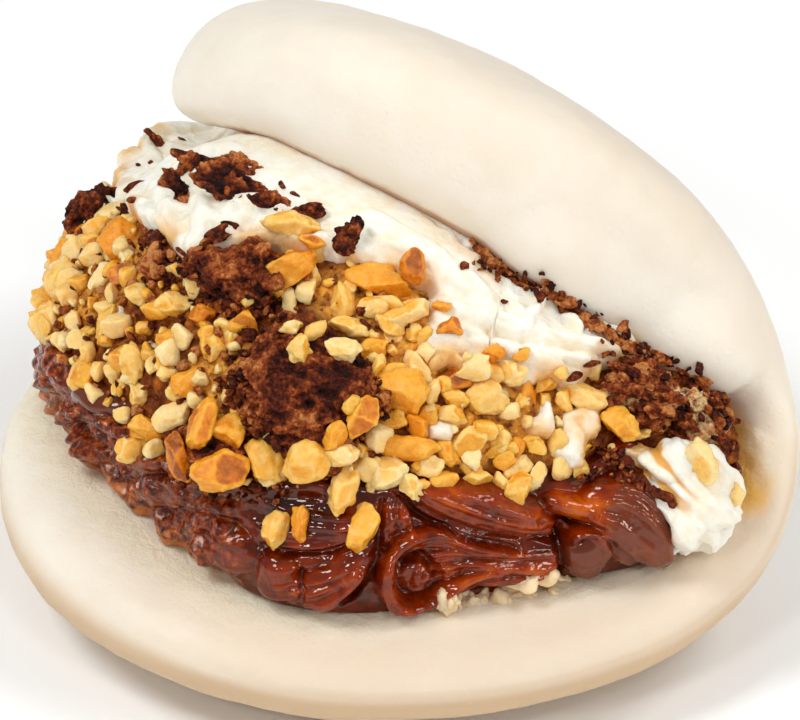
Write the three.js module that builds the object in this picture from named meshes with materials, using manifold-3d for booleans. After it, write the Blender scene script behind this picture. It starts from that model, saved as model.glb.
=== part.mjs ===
// A folded steamed bun (gua bao) filled with chocolate hazelnut sauce, brownie crumb with chopped hazelnuts,
// whipped cream and larger brownie pieces. Millimetres, +Z up. The fold runs along X, the mouth opens towards
// -Y, and the origin is the middle of the footprint, on the surface that the bun rests on.
import * as THREE from "three";
import { mergeVertices } from "three/addons/utils/BufferGeometryUtils.js";
import Module from "manifold-3d";

// Driving dimensions of the dough
const HALF_LENGTH = 48; // middle of the fold to either end of it
const LOWER_REACH = 65.7; // along the dough from the middle of the fold to the lower lip
const UPPER_REACH = 43.5; // the same to the upper lip
const DOUGH = 12.3; // thickness of a flap inside its rounded rim
const DOME = 2.5; // extra height of the outer skin in the middle of a flap
const FOLD_THINNING = 4.1; // how much thinner the dough is where it bends
const FOLD_BAND = 14; // half width of that thin band
const END_TAPER = 4.2; // thickness lost towards +X and won towards -X
const FOLD_RADIUS = 14.5; // inner radius of the bend
const MOUTH_ANGLE = 37.5; // degrees between the flaps beside the fold
const UPPER_DROOP = 17.5; // degrees that the upper flap bends down towards its lip
const LOWER_CURL = 7.4; // degrees that the lower flap curls up towards its lip
const UPPER_NARROWING = 0.8; // width of the upper flap against the lower one
const UPPER_SHIFT = -8.4; // how far the upper flap sits towards -X
const UPPER_CUP = 12.2; // droop of the upper flap's ends
const UPPER_TWIST = -8.1;
const LOWER_CUP = -2.2;
const LOWER_TWIST = 4.5;
const PLAN_POWER = 2.14; // 2 is an ellipse, more is squarer
const RIM_POWER = 14; // how late the flap's thickness rounds off
const CORNER_SWELL = 6.3; // extra dough inside the upper flap's rim, towards the +X end of the fold
const SWELL_ANGLES = [36, 120]; // degrees round the upper flap over which that fades
const SWELL_AT_FOLD = 0.2; // share of it that is left at the end of the fold
const REST_CUT = 1.1; // depth of the flat spot that the bun rests on
const GAP = 0.4; // air between neighbouring solids
const SKIN_GAP = 0.25; // least air between the dough and what it holds

// Driving dimensions of the filling
const RISE_NEAR = 14; // how steeply the front of the filling leaves the lower flap, near the +X end
const RISE_FAR = 21; // and towards the -X end
const FOOT_OUT = 3; // how far the foot of the filling leans out, near the +X end
const FOOT_OUT_FAR = 1;
const BROW = 5; // how far the filling stands out under the upper lip, near the +X end
const BROW_MIDDLE = 11;
const BROW_FAR = 7;
const FAR_DROP = 9; // how much lower the filling's top is past the upper lip's far end
const SHEET_DEPTHS = [0, 0.35, 0.7, 1]; // rows of a hidden face, from the fold to the front

const OUTER = 1;
const INNER = 0;
const { clamp, lerp, smoothstep, degToRad } = THREE.MathUtils;

const wasm = await Module();
wasm.setup();

// A smooth bump of height 1 around a middle.
function bump(value, middle, width) {
  return Math.exp(-(((value - middle) / width) ** 2));
}

// A seeded random draw between 0 and 1.
function makeRandom(seed) {
  let state = seed >>> 0;
  return () => {
    state = (state + 0x6d2b79f5) >>> 0;
    let mixed = Math.imul(state ^ (state >>> 15), state | 1);
    mixed ^= mixed + Math.imul(mixed ^ (mixed >>> 7), mixed | 61);
    return ((mixed ^ (mixed >>> 14)) >>> 0) / 4294967296;
  };
}

// Side view of the dough's inner skin

const BEND = Math.PI - degToRad(MOUTH_ANGLE);
const BEND_HALF = (FOLD_RADIUS * BEND) / 2;

// Direction of the inner skin at a distance along the dough from the middle of the fold, 0 along +Y.
function heading(along) {
  const share = clamp((along + BEND_HALF) / (2 * BEND_HALF), 0, 1);
  const turn = (BEND / 2) * (share + share * share * (3 - 2 * share));
  const droop = degToRad(UPPER_DROOP) * clamp((along - BEND_HALF) / UPPER_REACH, 0, 1);
  const curl = degToRad(LOWER_CURL) * clamp((-along - BEND_HALF) / LOWER_REACH, 0, 1);
  return turn + droop - curl;
}

// The skin's place at a distance along the dough, summed up in short steps from where the bend starts.
const SPINE_STEP = 0.25;
function spine(along) {
  const length = along + BEND_HALF;
  const steps = Math.max(1, Math.ceil(Math.abs(length) / SPINE_STEP));
  const stride = length / steps;
  let y = 0;
  let z = 0;
  for (let i = 0; i < steps; i++) {
    const angle = heading(-BEND_HALF + (i + 0.5) * stride);
    y += Math.cos(angle) * stride;
    z += Math.sin(angle) * stride;
  }
  return { y, z };
}

// How much of the corner's extra dough there is at an angle, from 0 to 1.
function swellShare(angle) {
  const degrees = THREE.MathUtils.radToDeg(Math.atan2(Math.sin(angle), Math.cos(angle)));
  if (degrees < 0) return SWELL_AT_FOLD * (1 - smoothstep(-degrees, 0, 40));
  const fade = 1 - smoothstep(degrees, ...SWELL_ANGLES);
  return fade * lerp(SWELL_AT_FOLD, 1, smoothstep(degrees, 0, 20));
}

// A point of the dough. share runs from 0 in the middle to 1 at the rim, angle is in the plane of the
// unfolded dough (negative on the lower flap), lift is a distance off the skin, into the mouth, and spread
// pushes the rim out.
function doughPoint(share, angle, sheet, lift = 0, spread = 0) {
  const c = Math.cos(angle);
  const s = Math.sin(angle);
  const oval = (Math.abs(c) ** PLAN_POWER + Math.abs(s) ** PLAN_POWER) ** (-1 / PLAN_POWER);
  const reach = share * oval * (1 + spread / HALF_LENGTH);
  const forward = reach * s;
  const upper = 0.5 + 0.5 * Math.tanh(3 * forward);
  const x = HALF_LENGTH * reach * c * lerp(1, UPPER_NARROWING, upper) + UPPER_SHIFT * upper;
  const along = forward * (forward < 0 ? LOWER_REACH : UPPER_REACH);
  const end = x / HALF_LENGTH;
  const thick = DOUGH - FOLD_THINNING * Math.exp(-((along / FOLD_BAND) ** 2)) - END_TAPER * end;
  const rim = Math.sqrt(Math.max(0, 1 - share ** RIM_POWER));
  const swell = CORNER_SWELL * swellShare(angle) * smoothstep(share, 0.3, 0.85);
  const outside = (thick / 2) * (1 + rim) + DOME * (1 - share * share) - (swell / 2) * (1 - rim);
  const inside = (thick / 2) * (1 - rim) - (swell / 2) * (1 + rim);
  const depth = sheet === OUTER ? outside : inside;
  const droop = (UPPER_CUP * end * end + UPPER_TWIST * end) * Math.max(forward, 0);
  const sag = (LOWER_CUP * end * end + LOWER_TWIST * end) * Math.max(-forward, 0);
  const out = depth - lift - droop + sag;
  const { y, z } = spine(along);
  const angleHere = heading(along);
  return new THREE.Vector3(x, y + out * Math.sin(angleHere), z - out * Math.cos(angleHere));
}

// Solids

// An indexed geometry from rows of points, each row joined to the next. Equal points are merged, and the
// triangles that this empties are dropped.
function geometryFromTriangles(triangles) {
  const positions = new Float32Array(triangles.length * 9);
  triangles.forEach((corners, i) => {
    corners.forEach((corner, k) => corner.toArray(positions, i * 9 + k * 3));
  });
  const loose = new THREE.BufferGeometry();
  loose.setAttribute("position", new THREE.BufferAttribute(positions, 3));
  const merged = mergeVertices(loose, 1e-3);
  const index = [];
  for (let i = 0; i < merged.index.count; i += 3) {
    const [a, b, c] = [0, 1, 2].map((k) => merged.index.getX(i + k));
    if (a !== b && b !== c && a !== c) index.push(a, b, c);
  }
  merged.setIndex(index);
  return merged;
}

// Two triangles for each cell between neighbouring rows of points.
function strip(rows) {
  const triangles = [];
  for (let i = 0; i + 1 < rows.length; i++) {
    for (let j = 0; j + 1 < rows[i].length; j++) {
      const [a, b] = [rows[i][j], rows[i][j + 1]];
      const [c, d] = [rows[i + 1][j], rows[i + 1][j + 1]];
      triangles.push([a, d, b], [a, c, d]);
    }
  }
  return triangles;
}

// A geometry with its positions only, and with equal ones merged.
function bareGeometry(geometry) {
  const bare = new THREE.BufferGeometry();
  bare.setAttribute("position", geometry.getAttribute("position"));
  if (geometry.index) bare.setIndex(geometry.index);
  return mergeVertices(bare, 1e-4);
}

function toSolid(geometry) {
  const merged = bareGeometry(geometry);
  const mesh = new wasm.Mesh({
    numProp: 3,
    vertProperties: new Float32Array(merged.getAttribute("position").array),
    triVerts: new Uint32Array(merged.index.array),
  });
  return new wasm.Manifold(mesh);
}

function toGeometry(solid) {
  const mesh = solid.getMesh();
  const positions = new Float32Array(mesh.numVert * 3);
  for (let i = 0; i < mesh.numVert; i++) {
    positions.set(mesh.vertProperties.subarray(i * mesh.numProp, i * mesh.numProp + 3), i * 3);
  }
  const geometry = new THREE.BufferGeometry();
  geometry.setAttribute("position", new THREE.BufferAttribute(positions, 3));
  geometry.setIndex(new THREE.BufferAttribute(new Uint32Array(mesh.triVerts), 1));
  geometry.computeVertexNormals();
  return geometry;
}

// The largest of the bodies that a cut leaves.
function largestBody(solid) {
  const bodies = solid.decompose();
  return bodies.reduce((best, body) => (body.volume() > best.volume() ? body : best));
}

// The dough, a folded disc with a rounded rim

const DOUGH_ANGLES = 60;
const ANGLE_CROWDING = 0.15; // how much closer the sections are beside the fold
const OUTSIDE_SHARES = [0, 0.09, 0.18, 0.27, 0.38, 0.52, 0.67];
const INSIDE_SHARES = [0, 0.15, 0.3, 0.46, 0.63];
const RIM_STEPS = 7;

// Shares of the flap from the middle to the rim, closer together where the rim rounds off.
function doughShares(flatShares) {
  const shares = [...flatShares];
  for (let i = 1; i <= RIM_STEPS; i++) {
    shares.push(Math.sin(((i / RIM_STEPS) * Math.PI) / 2) ** (2 / RIM_POWER));
  }
  return shares;
}

function makeDough(grow = 0) {
  const rows = [];
  for (let i = 0; i <= DOUGH_ANGLES; i++) {
    const turn = ((i % DOUGH_ANGLES) / DOUGH_ANGLES) * 2 * Math.PI;
    const angle = turn - ANGLE_CROWDING * Math.sin(2 * turn);
    const outer = doughShares(OUTSIDE_SHARES).map((share) => doughPoint(share, angle, OUTER, -grow, grow));
    const inner = doughShares(INSIDE_SHARES).map((share) => doughPoint(share, angle, INNER, grow, grow));
    rows.push([...outer, ...inner.reverse()]);
  }
  return toSolid(geometryFromTriangles(strip(rows)));
}

// The filling's front, from the lower flap at height 0 to the upper flap at height 1

function footShare(degrees) {
  const far = 0.08 * smoothstep(degrees, 100, 140) - 0.03 * smoothstep(degrees, 150, 180);
  return 0.87 + far - 0.085 * bump(degrees, 38, 16) + 0.03 * bump(degrees, 0, 8);
}

// The same for where it meets the upper flap.
function tuckShare(degrees) {
  return 0.84 + 0.06 * bump(degrees, 0, 14) + 0.08 * smoothstep(degrees, 115, 175);
}

function frontPoint(degrees, height) {
  const angle = degToRad(degrees);
  const foot = doughPoint(footShare(degrees), -angle, INNER, GAP);
  const top = doughPoint(tuckShare(degrees), angle, INNER, GAP);
  const closing = 1 - smoothstep(degrees, 150, 180);
  const footOut = new THREE.Vector3(foot.x, foot.y + 2, 0).normalize();
  const topOut = top.clone().sub(doughPoint(0.6, angle, INNER, GAP)).normalize();
  const rise = lerp(RISE_NEAR, RISE_FAR, smoothstep(degrees, 40, 120)) * clamp(degrees / 35, 0, 1);
  const lean = lerp(FOOT_OUT, FOOT_OUT_FAR, smoothstep(degrees, 60, 130));
  const brow =
    lerp(BROW, BROW_MIDDLE, smoothstep(degrees, 30, 90)) -
    (BROW_MIDDLE - BROW_FAR) * smoothstep(degrees, 95, 135);
  const drop = FAR_DROP * smoothstep(degrees, 95, 140) * closing;
  const end = top.clone();
  end.z -= 0.6 * drop;
  const first = foot.clone().addScaledVector(footOut, lean * closing);
  first.z += rise * closing;
  const second = top.clone().addScaledVector(topOut, brow * closing);
  second.z -= drop;
  return new THREE.CubicBezierCurve3(foot, first, second, end).getPoint(height);
}

// The direction that the filling's front faces.
function frontNormal(degrees, height) {
  const sideStep = 0.5;
  const upStep = 0.01;
  const side = frontPoint(degrees + sideStep, height).sub(frontPoint(degrees - sideStep, height));
  const up = frontPoint(degrees, height + upStep).sub(frontPoint(degrees, height - upStep));
  return up.cross(side).normalize();
}

// The filling's layers: chocolate sauce below, crumb in the middle, cream on top

const SECTION_STEP = 4; // degrees between the upright sections of every layer
const SAUCE_ENDS = [16, 168]; // degrees, on that step
const CRUMB_ENDS = [8, 164];
const CREAM_ENDS = [16, 160];
const END_ROUNDING = [7, 22]; // degrees over which a layer rounds off at either end
const BACK_SHARE = 0.12; // how deep the layers reach into the fold
const SAUCE_LEVEL = 0.24; // the top of the sauce at the back, as a share of the mouth's height there
const CRUMB_LEVEL = 0.62;
const RELIEF_FADE = 0.4;

function sauceTop(degrees) {
  return 0.18 + 0.11 * (1 - smoothstep(degrees, 62, 84)) + 0.16 * bump(degrees, 26, 5);
}

function crumbTop(degrees) {
  const corner = 0.3 * (1 - smoothstep(degrees, 14, 30));
  return 0.58 + 0.13 * bump(degrees, 70, 13) - 0.08 * bump(degrees, 104, 9) + corner;
}

// Ropey folds along the sauce, a ringed swirl and a round end at +X.
function sauceRelief(degrees, height) {
  const folds = 0.7 * Math.sin(degrees * 0.11 + height * 42) * smoothstep(height, 0, 0.06);
  const swirl = Math.hypot((degrees - 55) / 9, (height - 0.09) / 0.07);
  const rings = 0.8 * Math.cos(swirl * 4) * bump(swirl, 0, 1);
  const roundEnd = 1.8 * bump(degrees, 27, 7) * bump(height, 0.2, 0.13);
  return folds + rings + roundEnd;
}

function crumbRelief(degrees, height) {
  return 0.5 * Math.sin(degrees * 0.41 + 5 * Math.sin(height * 17)) * Math.sin(height * 29 + degrees * 0.17);
}

function creamRelief(degrees, height) {
  const ridge = Math.sin(degrees * 0.23 - height * 31 + 1.5 * Math.sin(degrees * 0.09));
  return (0.7 * ridge + 0.5 * Math.sin(degrees * 0.37 + height * 19)) * smoothstep(1 - height, 0, 0.12);
}

// rowsUp is the number of facets up the front.
const LAYERS = {
  sauce: {
    ends: SAUCE_ENDS,
    bottom: () => 0,
    top: sauceTop,
    levels: [0, SAUCE_LEVEL],
    relief: sauceRelief,
    rowsUp: 8,
  },
  crumb: {
    ends: CRUMB_ENDS,
    bottom: sauceTop,
    top: crumbTop,
    levels: [SAUCE_LEVEL, CRUMB_LEVEL],
    relief: crumbRelief,
    rowsUp: 4,
  },
  cream: {
    ends: CREAM_ENDS,
    bottom: crumbTop,
    top: () => 1,
    levels: [CRUMB_LEVEL, 1],
    relief: creamRelief,
    rowsUp: 7,
  },
};

// A place on the filling's front with its relief, which fades out where the layer meets its neighbours.
function reliefPoint(layer, degrees, height, share, grow) {
  const out = layer.relief(degrees, height) * Math.sin(share * Math.PI) ** RELIEF_FADE + grow;
  return frontPoint(degrees, height).addScaledVector(frontNormal(degrees, height), out);
}

// A hidden face of a layer, from the fold to the front. Levels 0 and 1 lie on the dough.
function hiddenPoint(degrees, height, level, depth, raise) {
  const angle = degToRad(degrees);
  if (level === 0) return doughPoint(lerp(BACK_SHARE, footShare(degrees), depth), -angle, INNER, GAP);
  if (level === 1) return doughPoint(lerp(BACK_SHARE, tuckShare(degrees), depth), angle, INNER, GAP);
  const low = doughPoint(BACK_SHARE, -angle, INNER, GAP);
  const high = doughPoint(BACK_SHARE, angle, INNER, GAP);
  const point = low.lerp(high, level).lerp(frontPoint(degrees, height), depth);
  point.z += raise;
  return point;
}

// One upright section of a layer, a closed loop of points.
function layerSection(layer, degrees, grow) {
  const { rowsUp } = layer;
  const bottom = layer.bottom(degrees);
  const top = layer.top(degrees);
  const raise = GAP / 2 - grow;
  const loop = [];
  for (let i = 0; i <= rowsUp; i++) {
    const height = lerp(bottom, top, i / rowsUp);
    const point = reliefPoint(layer, degrees, height, i / rowsUp, grow);
    if (i === 0 && layer.levels[0] > 0) point.z += raise;
    if (i === rowsUp && layer.levels[1] < 1) point.z -= raise;
    if (i === 0 && layer.levels[0] === 0) point.copy(hiddenPoint(degrees, bottom, 0, 1, 0));
    if (i === rowsUp && layer.levels[1] === 1) point.copy(hiddenPoint(degrees, top, 1, 1, 0));
    loop.push(point);
  }
  for (const depth of SHEET_DEPTHS.slice(0, -1).reverse()) {
    loop.push(hiddenPoint(degrees, top, layer.levels[1], depth, -raise));
  }
  for (const depth of SHEET_DEPTHS.slice(0, -1)) {
    loop.push(hiddenPoint(degrees, bottom, layer.levels[0], depth, raise));
  }
  const middle = loop[rowsUp + SHEET_DEPTHS.length - 1].clone().lerp(loop[rowsUp + SHEET_DEPTHS.length], 0.5);
  return loop.map((point) => point.lerp(middle, 1 - roundOff(layer, degrees)));
}

// How full a section is, less than 1 only near the ends of a layer.
function roundOff(layer, degrees) {
  const [from, to] = layer.ends;
  const near = clamp((degrees - from) / END_ROUNDING[0], 0.05, 1);
  const far = clamp((to - degrees) / END_ROUNDING[1], 0.05, 1);
  return Math.sqrt(1 - (1 - near) ** 2) * Math.sqrt(1 - (1 - far) ** 2);
}

// A closed body through loops of points, with its two ends closed by fans.
function loft(loops) {
  const rows = loops.map((loop) => [...loop, loop[0]]);
  const triangles = strip(rows);
  const fan = (loop, flip) => {
    const middle = loop.reduce((sum, point) => sum.add(point), new THREE.Vector3()).divideScalar(loop.length);
    loop.forEach((point, i) => {
      const next = loop[(i + 1) % loop.length];
      triangles.push(flip ? [middle, next, point] : [middle, point, next]);
    });
  };
  fan(loops[0], false);
  fan(loops[loops.length - 1], true);
  return toSolid(geometryFromTriangles(triangles));
}

function makeLayer(layer, grow = 0) {
  const [from, to] = layer.ends;
  const count = Math.round((to - from) / SECTION_STEP);
  const loops = [];
  for (let i = count; i >= 0; i--) {
    const degrees = lerp(from, to, i / count) + (i === 0 ? -grow : 0) + (i === count ? grow : 0);
    loops.push(layerSection(layer, degrees, grow));
  }
  return loft(loops);
}

// Loose pieces: chopped nuts and broken brownie

// Axes at a place on the front: across it, up it and out of it, turned by spin degrees around the last.
function frontAxes(degrees, height, spin) {
  const out = frontNormal(degrees, height);
  const sideStep = 1;
  const across = frontPoint(degrees - sideStep, height).sub(frontPoint(degrees + sideStep, height));
  across.addScaledVector(out, -across.dot(out)).normalize();
  across.applyAxisAngle(out, degToRad(spin));
  return { across, up: out.clone().cross(across), out };
}

// A piece's middle, for a place on the front. sink is the share of its depth that is in the filling.
function pieceMiddle({ degrees, height, size, sink }, out) {
  return frontPoint(degrees, height).addScaledVector(out, size[2] * (0.5 - sink));
}

// A broken piece: a ball of flat facets with unequal radii. detail 0 has 20 facets and 1 has 80, and boxy
// above 2 makes it squarer.
function makePiece(piece, grow = 0) {
  const random = makeRandom(piece.seed);
  const ball = bareGeometry(new THREE.IcosahedronGeometry(1, piece.detail));
  const { across, up, out } = frontAxes(piece.degrees, piece.height, piece.spin);
  const [width, tall, deep] = piece.size.map((length) => length / 2);
  const middle = pieceMiddle(piece, out);
  const corners = ball.getAttribute("position");
  const corner = new THREE.Vector3();
  for (let i = 0; i < corners.count; i++) {
    corner.fromBufferAttribute(corners, i);
    const spread = corner.toArray().reduce((sum, part) => sum + Math.abs(part) ** piece.boxy, 0);
    const radius = spread ** (-1 / piece.boxy) * (1 + piece.rough * (2 * random() - 1));
    const place = middle
      .clone()
      .addScaledVector(across, corner.x * (width * radius + grow))
      .addScaledVector(up, corner.y * (tall * radius + grow))
      .addScaledVector(out, corner.z * (deep * radius + grow));
    corners.setXYZ(i, place.x, place.y, place.z);
  }
  return toSolid(ball);
}

// Larger pieces of brownie, by their place on the front
const BROWNIE_FORM = { rough: 0.18, boxy: 3, detail: 1 };
const BROWNIES = {
  brownie_left: { degrees: 134, height: 0.5, size: [7, 7.5, 7], sink: 0.55, spin: 20, seed: 11 },
  brownie_upper: { degrees: 86, height: 0.57, size: [12, 8, 6], sink: 0.5, spin: 10, seed: 12 },
  brownie_middle: { degrees: 69, height: 0.44, size: [15, 13, 9], sink: 0.6, spin: -20, seed: 13 },
  brownie_lower: { degrees: 80, height: 0.25, size: [8, 6.5, 6], sink: 0.5, spin: 0, seed: 14 },
  brownie_right: { degrees: 25, height: 0.6, size: [8, 7, 6], sink: 0.5, spin: 30, seed: 15 },
  brownie_edge: { degrees: 15, height: 0.58, size: [6, 6, 5], sink: 0.5, spin: 0, seed: 16 },
  brownie_strip: { degrees: 38, height: 0.85, size: [18, 3.6, 4], sink: 0.5, spin: -8, seed: 17 },
  brownie_flake: { degrees: 94, height: 0.75, size: [9, 5, 2.6], sink: 0.4, spin: -10, seed: 18 },
  brownie_sliver: { degrees: 106, height: 0.67, size: [3.6, 5, 2.6], sink: 0.4, spin: 10, seed: 19 },
};

function makeBrownie(name, grow = 0) {
  return makePiece({ ...BROWNIE_FORM, ...BROWNIES[name] }, grow);
}

// The lump of cream at the sauce's +X end
const CREAM_LUMP = {
  degrees: 18,
  height: 0.27,
  size: [10, 11, 8],
  sink: 0.4,
  spin: 0,
  rough: 0.16,
  boxy: 2.3,
  detail: 2,
  seed: 31,
};

// Chopped nuts
const NUT_FORM = { rough: 0.16, sink: 0.25, boxy: 2.4, detail: 0 };
const NUT_LENGTHS = [3.8, 5.6]; // smallest and largest
const NUT_SHAPE = [1, 0.8, 0.7]; // sides against the long one
const NUT_REACH = 0.45; // radius that a nut needs around its middle, against its length
const NUT_CROWDING = 0.84; // how close neighbouring nuts come, 1 where they only touch
const NUT_CLEAR = 0.2; // least air between a nut and another solid, besides the gap
const NUT_HEIGHTS = [0.1, 0.75];
const NUT_MARGINS = [4, 6]; // degrees without nuts at the two ends of the crumb
const NUT_TRIES = 12000;
const NUT_SEED = 7;

// Three nuts that lie alone on the sauce
const LONE_NUTS = [
  { degrees: 70, height: 0.18, size: [4, 2.8, 2.6], spin: 60, seed: 41 },
  { degrees: 66, height: 0.2, size: [3.2, 2.2, 2.4], spin: 80, seed: 42 },
  { degrees: 58, height: 0.21, size: [5, 3, 2.8], spin: 70, seed: 43 },
];

// How many nuts a place on the crumb has, from 0 to 1.
function nutDensity(degrees, height) {
  const left = smoothstep(degrees, 76, 84) * (1 - smoothstep(degrees, 135, 152));
  const overSauce = bump(height, sauceTop(degrees) + 0.06, 0.06) * (1 - smoothstep(degrees, 96, 104));
  const middle = bump(degrees, 52, 18) * bump(height, 0.5, 0.15);
  return Math.max(left, overSauce, middle);
}

// Whether a nut at a place stays on the crumb, clear of the sauce and the cream.
function insideCrumb({ degrees, height, place, radius }) {
  if (height < sauceTop(degrees) || height > crumbTop(degrees)) return false;
  return [-8, -4, 0, 4, 8].every((aside) => {
    const edges = [sauceTop, crumbTop].map((edge) => frontPoint(degrees + aside, edge(degrees + aside)));
    return edges.every((edge) => edge.distanceTo(place) > radius + NUT_CLEAR + GAP);
  });
}

function nearBrownie(brownie, { place, radius }) {
  const { across, up, out } = frontAxes(brownie.degrees, brownie.height, brownie.spin);
  const from = place.clone().sub(pieceMiddle(brownie, out));
  const shares = [across, up, out].map((axis, k) => {
    return from.dot(axis) / (brownie.size[k] / 2 + radius + NUT_CLEAR + GAP);
  });
  return Math.hypot(...shares) < 1;
}

function touchesNut(other, { place, radius }) {
  return other.place.distanceTo(place) < NUT_CROWDING * (other.radius + radius);
}

// Throws nuts at the crumb at random and keeps those that find room.
function scatterNuts() {
  const random = makeRandom(NUT_SEED);
  const nuts = [];
  for (let i = 0; i < NUT_TRIES; i++) {
    const degrees = lerp(CRUMB_ENDS[0] + NUT_MARGINS[0], CRUMB_ENDS[1] - NUT_MARGINS[1], random());
    const height = lerp(...NUT_HEIGHTS, random());
    const length = lerp(...NUT_LENGTHS, random());
    const nut = { ...NUT_FORM, degrees, height, spin: 180 * random(), seed: i };
    if (random() > nutDensity(degrees, height)) continue;
    nut.size = NUT_SHAPE.map((share) => share * length);
    nut.place = frontPoint(degrees, height);
    nut.radius = length * NUT_REACH;
    if (!insideCrumb(nut)) continue;
    if (nuts.some((other) => touchesNut(other, nut))) continue;
    if (Object.values(BROWNIES).some((brownie) => nearBrownie(brownie, nut))) continue;
    nuts.push(nut);
  }
  return nuts;
}

// The sub-parts

const FLAT_BLOCK = 300; // side of the block that cuts the rest spot, larger than the bun

function join(parts) {
  return parts.reduce((sum, part) => sum.add(part));
}

// What is left of a solid after the cuts, without loose scraps.
function cut(solid, tools) {
  return largestBody(tools.reduce((rest, tool) => rest.subtract(tool), solid));
}

// The dough with the flat spot that it rests on.
function makeBun() {
  const dough = makeDough();
  const block = bareGeometry(new THREE.BoxGeometry(FLAT_BLOCK, FLAT_BLOCK, FLAT_BLOCK));
  block.translate(0, 0, dough.boundingBox().min[2] + REST_CUT - FLAT_BLOCK / 2);
  return dough.subtract(toSolid(block));
}

function makeSauce(holes) {
  const nuts = LONE_NUTS.map((nut) => makePiece({ ...NUT_FORM, ...nut }));
  return cut(join([makeLayer(LAYERS.sauce), ...nuts]), holes);
}

function makeCrumb(holes) {
  const nuts = scatterNuts().map((nut) => makePiece(nut));
  return cut(join([makeLayer(LAYERS.crumb), ...nuts]), [...holes, makeLayer(LAYERS.sauce, GAP)]);
}

function makeCream(holes) {
  return cut(makeLayer(LAYERS.cream), holes);
}

// Every sub-part by name. Each brownie piece and the lump of cream sit in a hollow a little larger than
// they are.
function makeSubParts() {
  const names = Object.keys(BROWNIES);
  const skin = makeDough(SKIN_GAP);
  const lumpHollow = makePiece(CREAM_LUMP, GAP);
  const hollows = names.map((name) => makeBrownie(name, GAP));
  const holes = [...hollows, lumpHollow, skin];
  const parts = {
    bun: makeBun(),
    chocolate_sauce: makeSauce(holes),
    crumb_filling: makeCrumb(holes),
    cream: makeCream(holes),
    cream_lump: cut(makePiece(CREAM_LUMP), [skin]),
  };
  names.forEach((name, i) => {
    parts[name] = cut(makeBrownie(name), [...hollows.slice(0, i), lumpHollow, skin]);
  });
  return parts;
}

// Materials and the object itself

const LOOKS = {
  dough: { color: 0xf6eedd, roughness: 0.55 },
  sauce: { color: 0x5a1f10, roughness: 0.2 },
  crumb: { color: 0xc08a3e, roughness: 0.7 },
  cream: { color: 0xfaf6ee, roughness: 0.5 },
  brownie: { color: 0x4a2413, roughness: 0.8 },
};
const SLOTS = {
  bun: "dough",
  chocolate_sauce: "sauce",
  crumb_filling: "crumb",
  cream: "cream",
  cream_lump: "cream",
};

function makeMaterial(slot) {
  const material = new THREE.MeshStandardMaterial({ ...LOOKS[slot], metalness: 0 });
  material.name = slot;
  return material;
}

function makeBao() {
  const parts = makeSubParts();
  const { min, max } = parts.bun.boundingBox();
  const group = new THREE.Group();
  group.name = "chocolate_hazelnut_bao";
  for (const [name, solid] of Object.entries(parts)) {
    const geometry = toGeometry(solid);
    geometry.translate(-(min[0] + max[0]) / 2, -(min[1] + max[1]) / 2, -min[2]);
    const mesh = new THREE.Mesh(geometry, makeMaterial(SLOTS[name] ?? "brownie"));
    mesh.name = name;
    group.add(mesh);
  }
  return group;
}

export default makeBao();
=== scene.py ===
import itertools
import math

import bmesh
import bpy
import numpy as np
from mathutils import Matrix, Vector


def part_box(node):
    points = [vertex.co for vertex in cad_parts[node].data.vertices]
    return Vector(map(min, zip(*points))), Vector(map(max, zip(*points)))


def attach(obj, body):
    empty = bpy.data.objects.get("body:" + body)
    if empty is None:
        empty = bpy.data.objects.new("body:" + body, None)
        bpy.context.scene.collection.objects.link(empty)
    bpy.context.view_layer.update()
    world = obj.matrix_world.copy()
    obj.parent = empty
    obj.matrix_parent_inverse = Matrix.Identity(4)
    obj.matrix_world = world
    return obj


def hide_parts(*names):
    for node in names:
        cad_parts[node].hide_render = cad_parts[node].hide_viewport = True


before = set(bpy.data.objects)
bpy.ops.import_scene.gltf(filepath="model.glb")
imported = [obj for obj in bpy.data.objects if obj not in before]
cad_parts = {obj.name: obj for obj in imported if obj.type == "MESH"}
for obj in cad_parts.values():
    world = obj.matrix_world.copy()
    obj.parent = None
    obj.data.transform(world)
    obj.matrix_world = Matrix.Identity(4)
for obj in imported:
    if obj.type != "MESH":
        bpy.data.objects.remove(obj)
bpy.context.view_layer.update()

MM = 0.001
OUTER = 1
INNER = 0

# Driving dimensions of the dough, as in the solids
HALF_LENGTH = 48.0
LOWER_REACH = 65.7
UPPER_REACH = 43.5
DOUGH = 12.3
DOME = 2.5
FOLD_THINNING = 4.1
FOLD_BAND = 14.0
END_TAPER = 4.2
FOLD_RADIUS = 14.5
MOUTH_ANGLE = 37.5
UPPER_DROOP = 17.5
LOWER_CURL = 7.4
UPPER_NARROWING = 0.8
UPPER_SHIFT = -8.4
UPPER_CUP = 12.2
UPPER_TWIST = -8.1
LOWER_CUP = -2.2
LOWER_TWIST = 4.5
PLAN_POWER = 2.14
RIM_POWER = 14.0
CORNER_SWELL = 6.3
SWELL_ANGLES = (36.0, 120.0)
SWELL_AT_FOLD = 0.2
REST_CUT = 1.1

# Driving dimensions of the filling
RISE_NEAR = 14.0
RISE_FAR = 21.0
FOOT_OUT = 3.0
FOOT_OUT_FAR = 1.0
BROW = 5.0
BROW_MIDDLE = 11.0
BROW_FAR = 7.0
FAR_DROP = 9.0
WALL_ENDS = (4.0, 172.0)
BACK_SHARE = 0.12

# The camera
AZIMUTH = 46.8
ELEVATION = 31.6
CAMERA_DISTANCE = 429.0
CAMERA_TARGET = np.array([11.264, -2.433, 30.511])
FOCAL_PIXELS = 4141.5
IMAGE_WIDTH = 800
IMAGE_HEIGHT = 720
SENSOR_WIDTH = 36.0
PICK_REACH = 2.2  # pixels within which a point of a surface counts as being at a pixel


# Small helpers


def lerp(a, b, t):
    return a + (b - a) * t


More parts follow.
